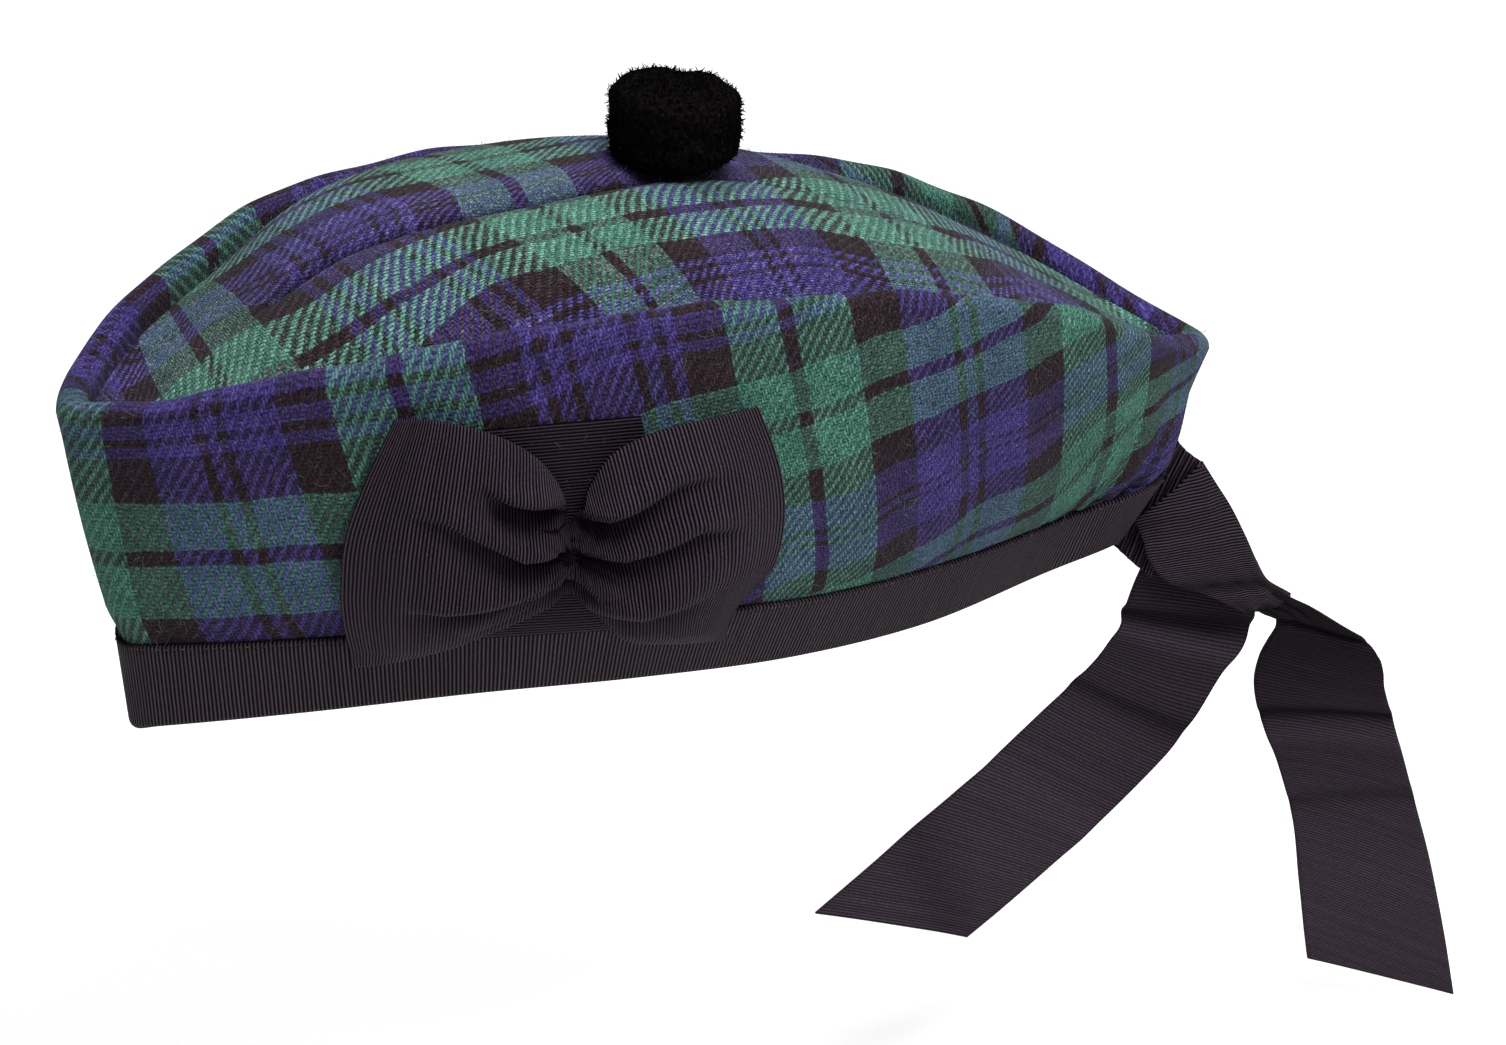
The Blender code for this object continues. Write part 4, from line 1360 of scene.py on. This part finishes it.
def bow_pleats(along, high):
    """What the pleats take from the bow's stand-off and add to it, as shares of BOW_PUFF."""
    pressed = np.zeros_like(along)
    rolled = np.zeros_like(along)
    stretch = BOW_WIDTH / BOW_HEIGHT
    place = np.stack([along * stretch, high], -1)
    for line in BOW_FOLDS.values():
        nearest = np.full_like(along, np.inf)
        depth = np.zeros_like(along)
        side = np.ones_like(along)
        for first, second in zip(line, line[1:]):
            start = np.array((first.along * stretch, first.high))
            way = np.array((second.along * stretch, second.high)) - start
            share = np.clip((place - start) @ way / (way @ way), 0, 1)
            off = place - start - share[..., None] * way
            distance = np.linalg.norm(off, axis=-1)
            closer = distance < nearest
            nearest = np.where(closer, distance, nearest)
            depth = np.where(closer, first.depth + (second.depth - first.depth) * share, depth)
            side = np.where(closer, np.sign(off[..., 1] + 1e-9), side)
        above = np.exp(-((nearest / PLEAT_EDGE) ** 2))
        below = np.exp(-((nearest / PLEAT_SHADE) ** 1.3))
        pressed = np.maximum(pressed, depth * np.where(side > 0, above, below))
        roll = np.exp(-(((nearest - ROLL_AT) / ROLL_SPREAD) ** 2))
        rolled = np.maximum(rolled, PLEAT_ROLL * depth * np.where(side > 0, roll, 0))
    return pressed, rolled


def bow_place(place, climb):
    low_along = read_row(BOW_COLUMNS, "low_along", place)
    low_high = read_row(BOW_COLUMNS, "low_high", place)
    along = low_along + (read_row(BOW_COLUMNS, "top_along", place) - low_along) * climb
    high = low_high + (read_row(BOW_COLUMNS, "top_high", place) - low_high) * climb
    left, right = (read_row(BOW_EDGES, side, climb) for side in ("left", "right"))
    outwards = np.where(place < 0.5, left, right)
    along = along + outwards * np.abs(2 * place - 1) ** 3
    crest = np.sin(math.pi * (BOW_EDGE + (1 - 2 * BOW_EDGE) * climb)) ** BOW_FULLNESS
    pressed, rolled = bow_pleats(along, high)
    radius = np.hypot(along * BOW_WIDTH, high * BOW_HEIGHT) / 2
    angle = np.arctan2(high * BOW_HEIGHT, np.abs(along) * BOW_WIDTH)
    creases = PINCH_CREASE_DEPTH * np.exp(-radius / PINCH_CREASE_REACH)
    creases = creases * np.sin(PINCH_CREASES * angle + 3 * np.sign(along))
    stand = read_row(BOW_COLUMNS, "stand", place) * crest * (1 - PRESSED_SHARE * pressed)
    stand = stand + rolled + creases
    return along, high, np.maximum(stand, 0.02), pressed


def make_bow(finish):
    place, climb = np.meshgrid(
        np.linspace(0, 1, BOW_STEPS[0] + 1), np.linspace(0, 1, BOW_STEPS[1] + 1), indexing="ij",
    )
    along, high, stand, pressed = bow_place(place, climb)
    spots = along * BOW_WIDTH / 2, BOW_RISE + high * BOW_HEIGHT / 2
    back = 2 * GAP + RIBBON + stand * BOW_PUFF
    fronts = side_place(*spots, back + RIBBON)
    backs = side_place(*spots, back)
    ribs = run_lengths(fronts).mean(1, keepdims=True) * 1000
    threads = np.stack(np.broadcast_arrays(climb * BOW_HEIGHT * 1000, ribs), -1)
    piece = closed_mesh("bow_lobes", fronts, backs, threads, finish)
    # Painted shade in the pleats, darkest where they are pressed deepest.
    mark_painted_shade(piece, np.stack([pressed, pressed]) ** 2)
    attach(piece, "root")
    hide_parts("bow")
    return piece


# Ribbons at the back

# Shade is painted shade at the start of each ribbon, where it lies under the knot.
RIBBONS = table(
    "name node rows flat cut slant curl shade held rests_on",
    (
        "back_root", "ribbon_root", ROOT_ROWS, (TAIL_WIDTH, 0.0150),
        0.0, 0.0, 0.0010, 0.50, "gathered", "headband",
    ),
    (
        "back_knot", "ribbon_knot", KNOT_ROWS, (0.024, 0.0495),
        0.0, 12.0, -0.0020, 0.10, "folded", "ribbon_root",
    ),
    (
        "front_tail", "ribbon_tail_front", FRONT_TAIL_ROWS, (TAIL_WIDTH, 0.134),
        -0.200, 0.0, 0.0012, 0.75, "hung", "ribbon_knot",
    ),
    (
        "rear_tail", "ribbon_tail_rear", REAR_TAIL_ROWS, (TAIL_WIDTH, 0.140),
        0.155, 8.0, 0.0012, 1.15, "hung", "ribbon_knot",
    ),
)

# Soft creases across a ribbon: place along it, slant, width along it and depth in metres.
CREASE_COLUMNS = "place slant width depth"
CREASES = {
    "front_tail": table(
        CREASE_COLUMNS,
        (0.115, -0.03, 0.016, 0.0018),
        (0.165, -0.03, 0.022, -0.0008),
        (0.300, -0.06, 0.020, 0.0010),
        (0.560, -0.05, 0.040, -0.0006),
        (0.800, 0.08, 0.060, 0.0007),
    ),
    "rear_tail": table(
        CREASE_COLUMNS,
        (0.095, 0.09, 0.018, 0.0022),
        (0.300, 0.06, 0.014, 0.0012),
        (0.350, 0.06, 0.030, -0.0008),
        (0.500, 0.03, 0.018, 0.0007),
        (0.750, -0.06, 0.060, -0.0007),
    ),
    "back_knot": table(
        CREASE_COLUMNS,
        (0.820, 0.25, 0.060, 0.0012),
        (0.950, 0.20, 0.050, -0.0010),
        (0.985, -0.05, 0.030, 0.0012),
    ),
    "back_root": table(
        CREASE_COLUMNS,
        (0.120, 0.10, 0.080, 0.0009),
        (0.340, 0.14, 0.080, 0.0011),
        (0.560, 0.12, 0.070, 0.0010),
        (0.780, 0.10, 0.080, 0.0009),
    ),
}


def ribbon_creases(name, place, offset):
    total = np.zeros_like(place)
    for crease in CREASES[name]:
        off = (place - crease.place - crease.slant * offset) / crease.width
        total -= crease.depth * np.exp(-(off ** 2))
    return total


def make_ribbon(ribbon, finish):
    slit = foot_at(np.array(1.0)) + band_axes(np.array(1.0))[0] * BAND_HEIGHT / 2

    def edge(side, place):
        ways = ("_along", "_out", "_high")
        along, out, high = (read_row(ribbon.rows, side + way, place) for way in ways)
        return slit + vector(along, -out, high) / 1000

    steps = max(RIBBON_LEAST_STEPS, round(ribbon.flat[1] / RIBBON_STEP))
    offset = np.linspace(-0.5, 0.5, RIBBON_COLUMNS + 1)
    run_place, offset = np.meshgrid(np.arange(steps + 1) / steps, offset, indexing="ij")
    place = run_place * (1 + ribbon.cut * offset) / (1 + abs(ribbon.cut) / 2)
    left, right = edge("left", place), edge("right", place)
    middle = left + scaled(right - left, offset + 0.5)
    face = unit(np.cross(np.gradient(middle, axis=0), right - left))
    wide = np.linalg.norm(right - left, axis=-1)
    slack = np.clip(1 - wide / TAIL_WIDTH, 0, 1)
    ripple = np.sin(math.tau * GATHER_RIPPLES * offset + 6 * place)
    proud = ribbon.curl * (2 * offset) ** 2 + GATHER_RIPPLE_DEPTH * slack * ripple
    folds = ribbon_creases(ribbon.name, place, offset)
    points = middle + scaled(face, proud + folds)
    along = run_lengths(points).mean(1, keepdims=True) * 1000 - ribbon.slant * offset
    threads = np.stack([offset * TAIL_WIDTH * 1000, along], -1)
    piece = sheet_mesh(ribbon.name, points, threads, finish)
    # Painted shade: darker near each ribbon's start, under the knot, and in its creases.
    shade = ribbon.shade * np.exp(-((place / SHADE_REACH) ** 2))
    mark_painted_shade(piece, shade - folds / FOLD_DARKEST)
    thicken(piece, RIBBON, 0)
    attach(piece, "root")
    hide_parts(ribbon.node)
    return piece


# Studio

def way_to(azimuth, elevation):
    turn, lift = math.radians(azimuth), math.radians(elevation)
    return Vector((
        math.sin(turn) * math.cos(lift),
        -math.cos(turn) * math.cos(lift),
        math.sin(lift),
    ))


def make_camera():
    data = bpy.data.cameras.new("camera")
    data.sensor_width = SENSOR_WIDTH
    data.lens = PIXELS_PER_METRE * CAMERA_DISTANCE / PHOTO_WIDTH * SENSOR_WIDTH
    data.clip_end = 50
    camera = add_object("camera", data)
    back = way_to(CAMERA_AZIMUTH, CAMERA_ELEVATION)
    camera.location = Vector(CAMERA_TARGET) + back * CAMERA_DISTANCE
    camera.rotation_euler = back.to_track_quat("Z", "Y").to_euler()
    bpy.context.scene.camera = camera


def make_lights():
    """Soft square lights that face the cap, and an even light from all round."""
    for row in LIGHTS:
        data = bpy.data.lights.new(row.name, "AREA")
        data.size = row.size
        data.energy = row.power
        light = add_object(row.name, data)
        way = way_to(row.azimuth, row.elevation)
        light.location = way * row.distance
        light.rotation_euler = way.to_track_quat("Z", "Y").to_euler()
    world = bpy.data.worlds.new("studio")
    world.use_nodes = True
    background = world.node_tree.nodes["Background"]
    background.inputs["Color"].default_value = (1, 1, 1, 1)
    background.inputs["Strength"].default_value = WORLD_LIGHT
    bpy.context.scene.world = world
    bpy.context.scene.view_settings.view_transform = "Standard"


def make_floor():
    low = float(CAD_BOX[0][2])
    mesh = bpy.data.meshes.new("floor")
    corners = ((-1, -1), (1, -1), (1, 1), (-1, 1))
    points = [(x * FLOOR_REACH, y * FLOOR_REACH, low) for x, y in corners]
    mesh.from_pydata(points, [], [(0, 1, 2, 3)])
    finish = Finish("pale floor")
    grain = finish.span(finish.noise(finish.place(), 12, 2), 0.3, 0.7, 0.97, 1.0)
    white = finish.shade(FLOOR_WHITE, grain)
    glow = {"Emission_Color": (1, 1, 1), "Emission_Strength": FLOOR_GLOW}
    mesh.materials.append(finish.surface(white, 0.9, **glow))
    floor = add_object("floor", mesh)


make_camera()
make_lights()
make_floor()
# The crown's copy of the tartan carries painted top light: brighter, with stronger painted glints
# and painted shade on the sunk floats; the side's copy is the darker one.
side_tartan = tartan_finish("tartan wool", -0.18, 0.26, 0.88, 0.27)
crown_lit_tartan = tartan_finish("tartan wool, crown, painted top light", 0.28, 0.85, 1.03, 0.13, darkest=0.10)
grosgrain = grosgrain_finish("black grosgrain", BOW_BLACK, 0.95, darkest=0.22)
# A lighter copy of the ribbon black: painted light on the hanging tails, which are lit more than the
# bow; flatter ribs.
tail_lit_cloth = grosgrain_finish(
    "black grosgrain, hung, painted light", TAIL_LIT_BLACK, 0.95, gloss=0.6, relief=0.45, darkest=0.22,
)
# A darker copy of the ribbon: painted shade for the backing, which lies in shade between the lobes.
backing_shaded_cloth = grosgrain_finish("black grosgrain, flat, painted shade", BACKING_SHADED_BLACK, 0.88)
band_cloth = grosgrain_finish("band cloth", BAND_BLACK, 1.05, gloss=0.65)
pile = pile_finish()
wool = strand_growth(
    "wool fibres", wool_finish(), WOOL_DENSITY, WOOL_LENGTH, WOOL_THICKNESS,
    bend=0.9, spread=1.6, bends=4, seed=11,
)
tufts = strand_growth(
    "pile tufts", pile, PILE_DENSITY, TUFT_LENGTH, PILE_THICKNESS,
    bend=0.5, spread=0.9, seed=21,
)
stitches = stitch_growth("hem stitches", thread_finish())
make_cap_side(side_tartan, wool)
make_crown(crown_lit_tartan, wool)
make_headband(band_cloth, stitches)
make_toorie(pile, tufts)
make_backing(backing_shaded_cloth)
make_bow(grosgrain)
for ribbon in RIBBONS:
    make_ribbon(ribbon, tail_lit_cloth if ribbon.held == "hung" else grosgrain)
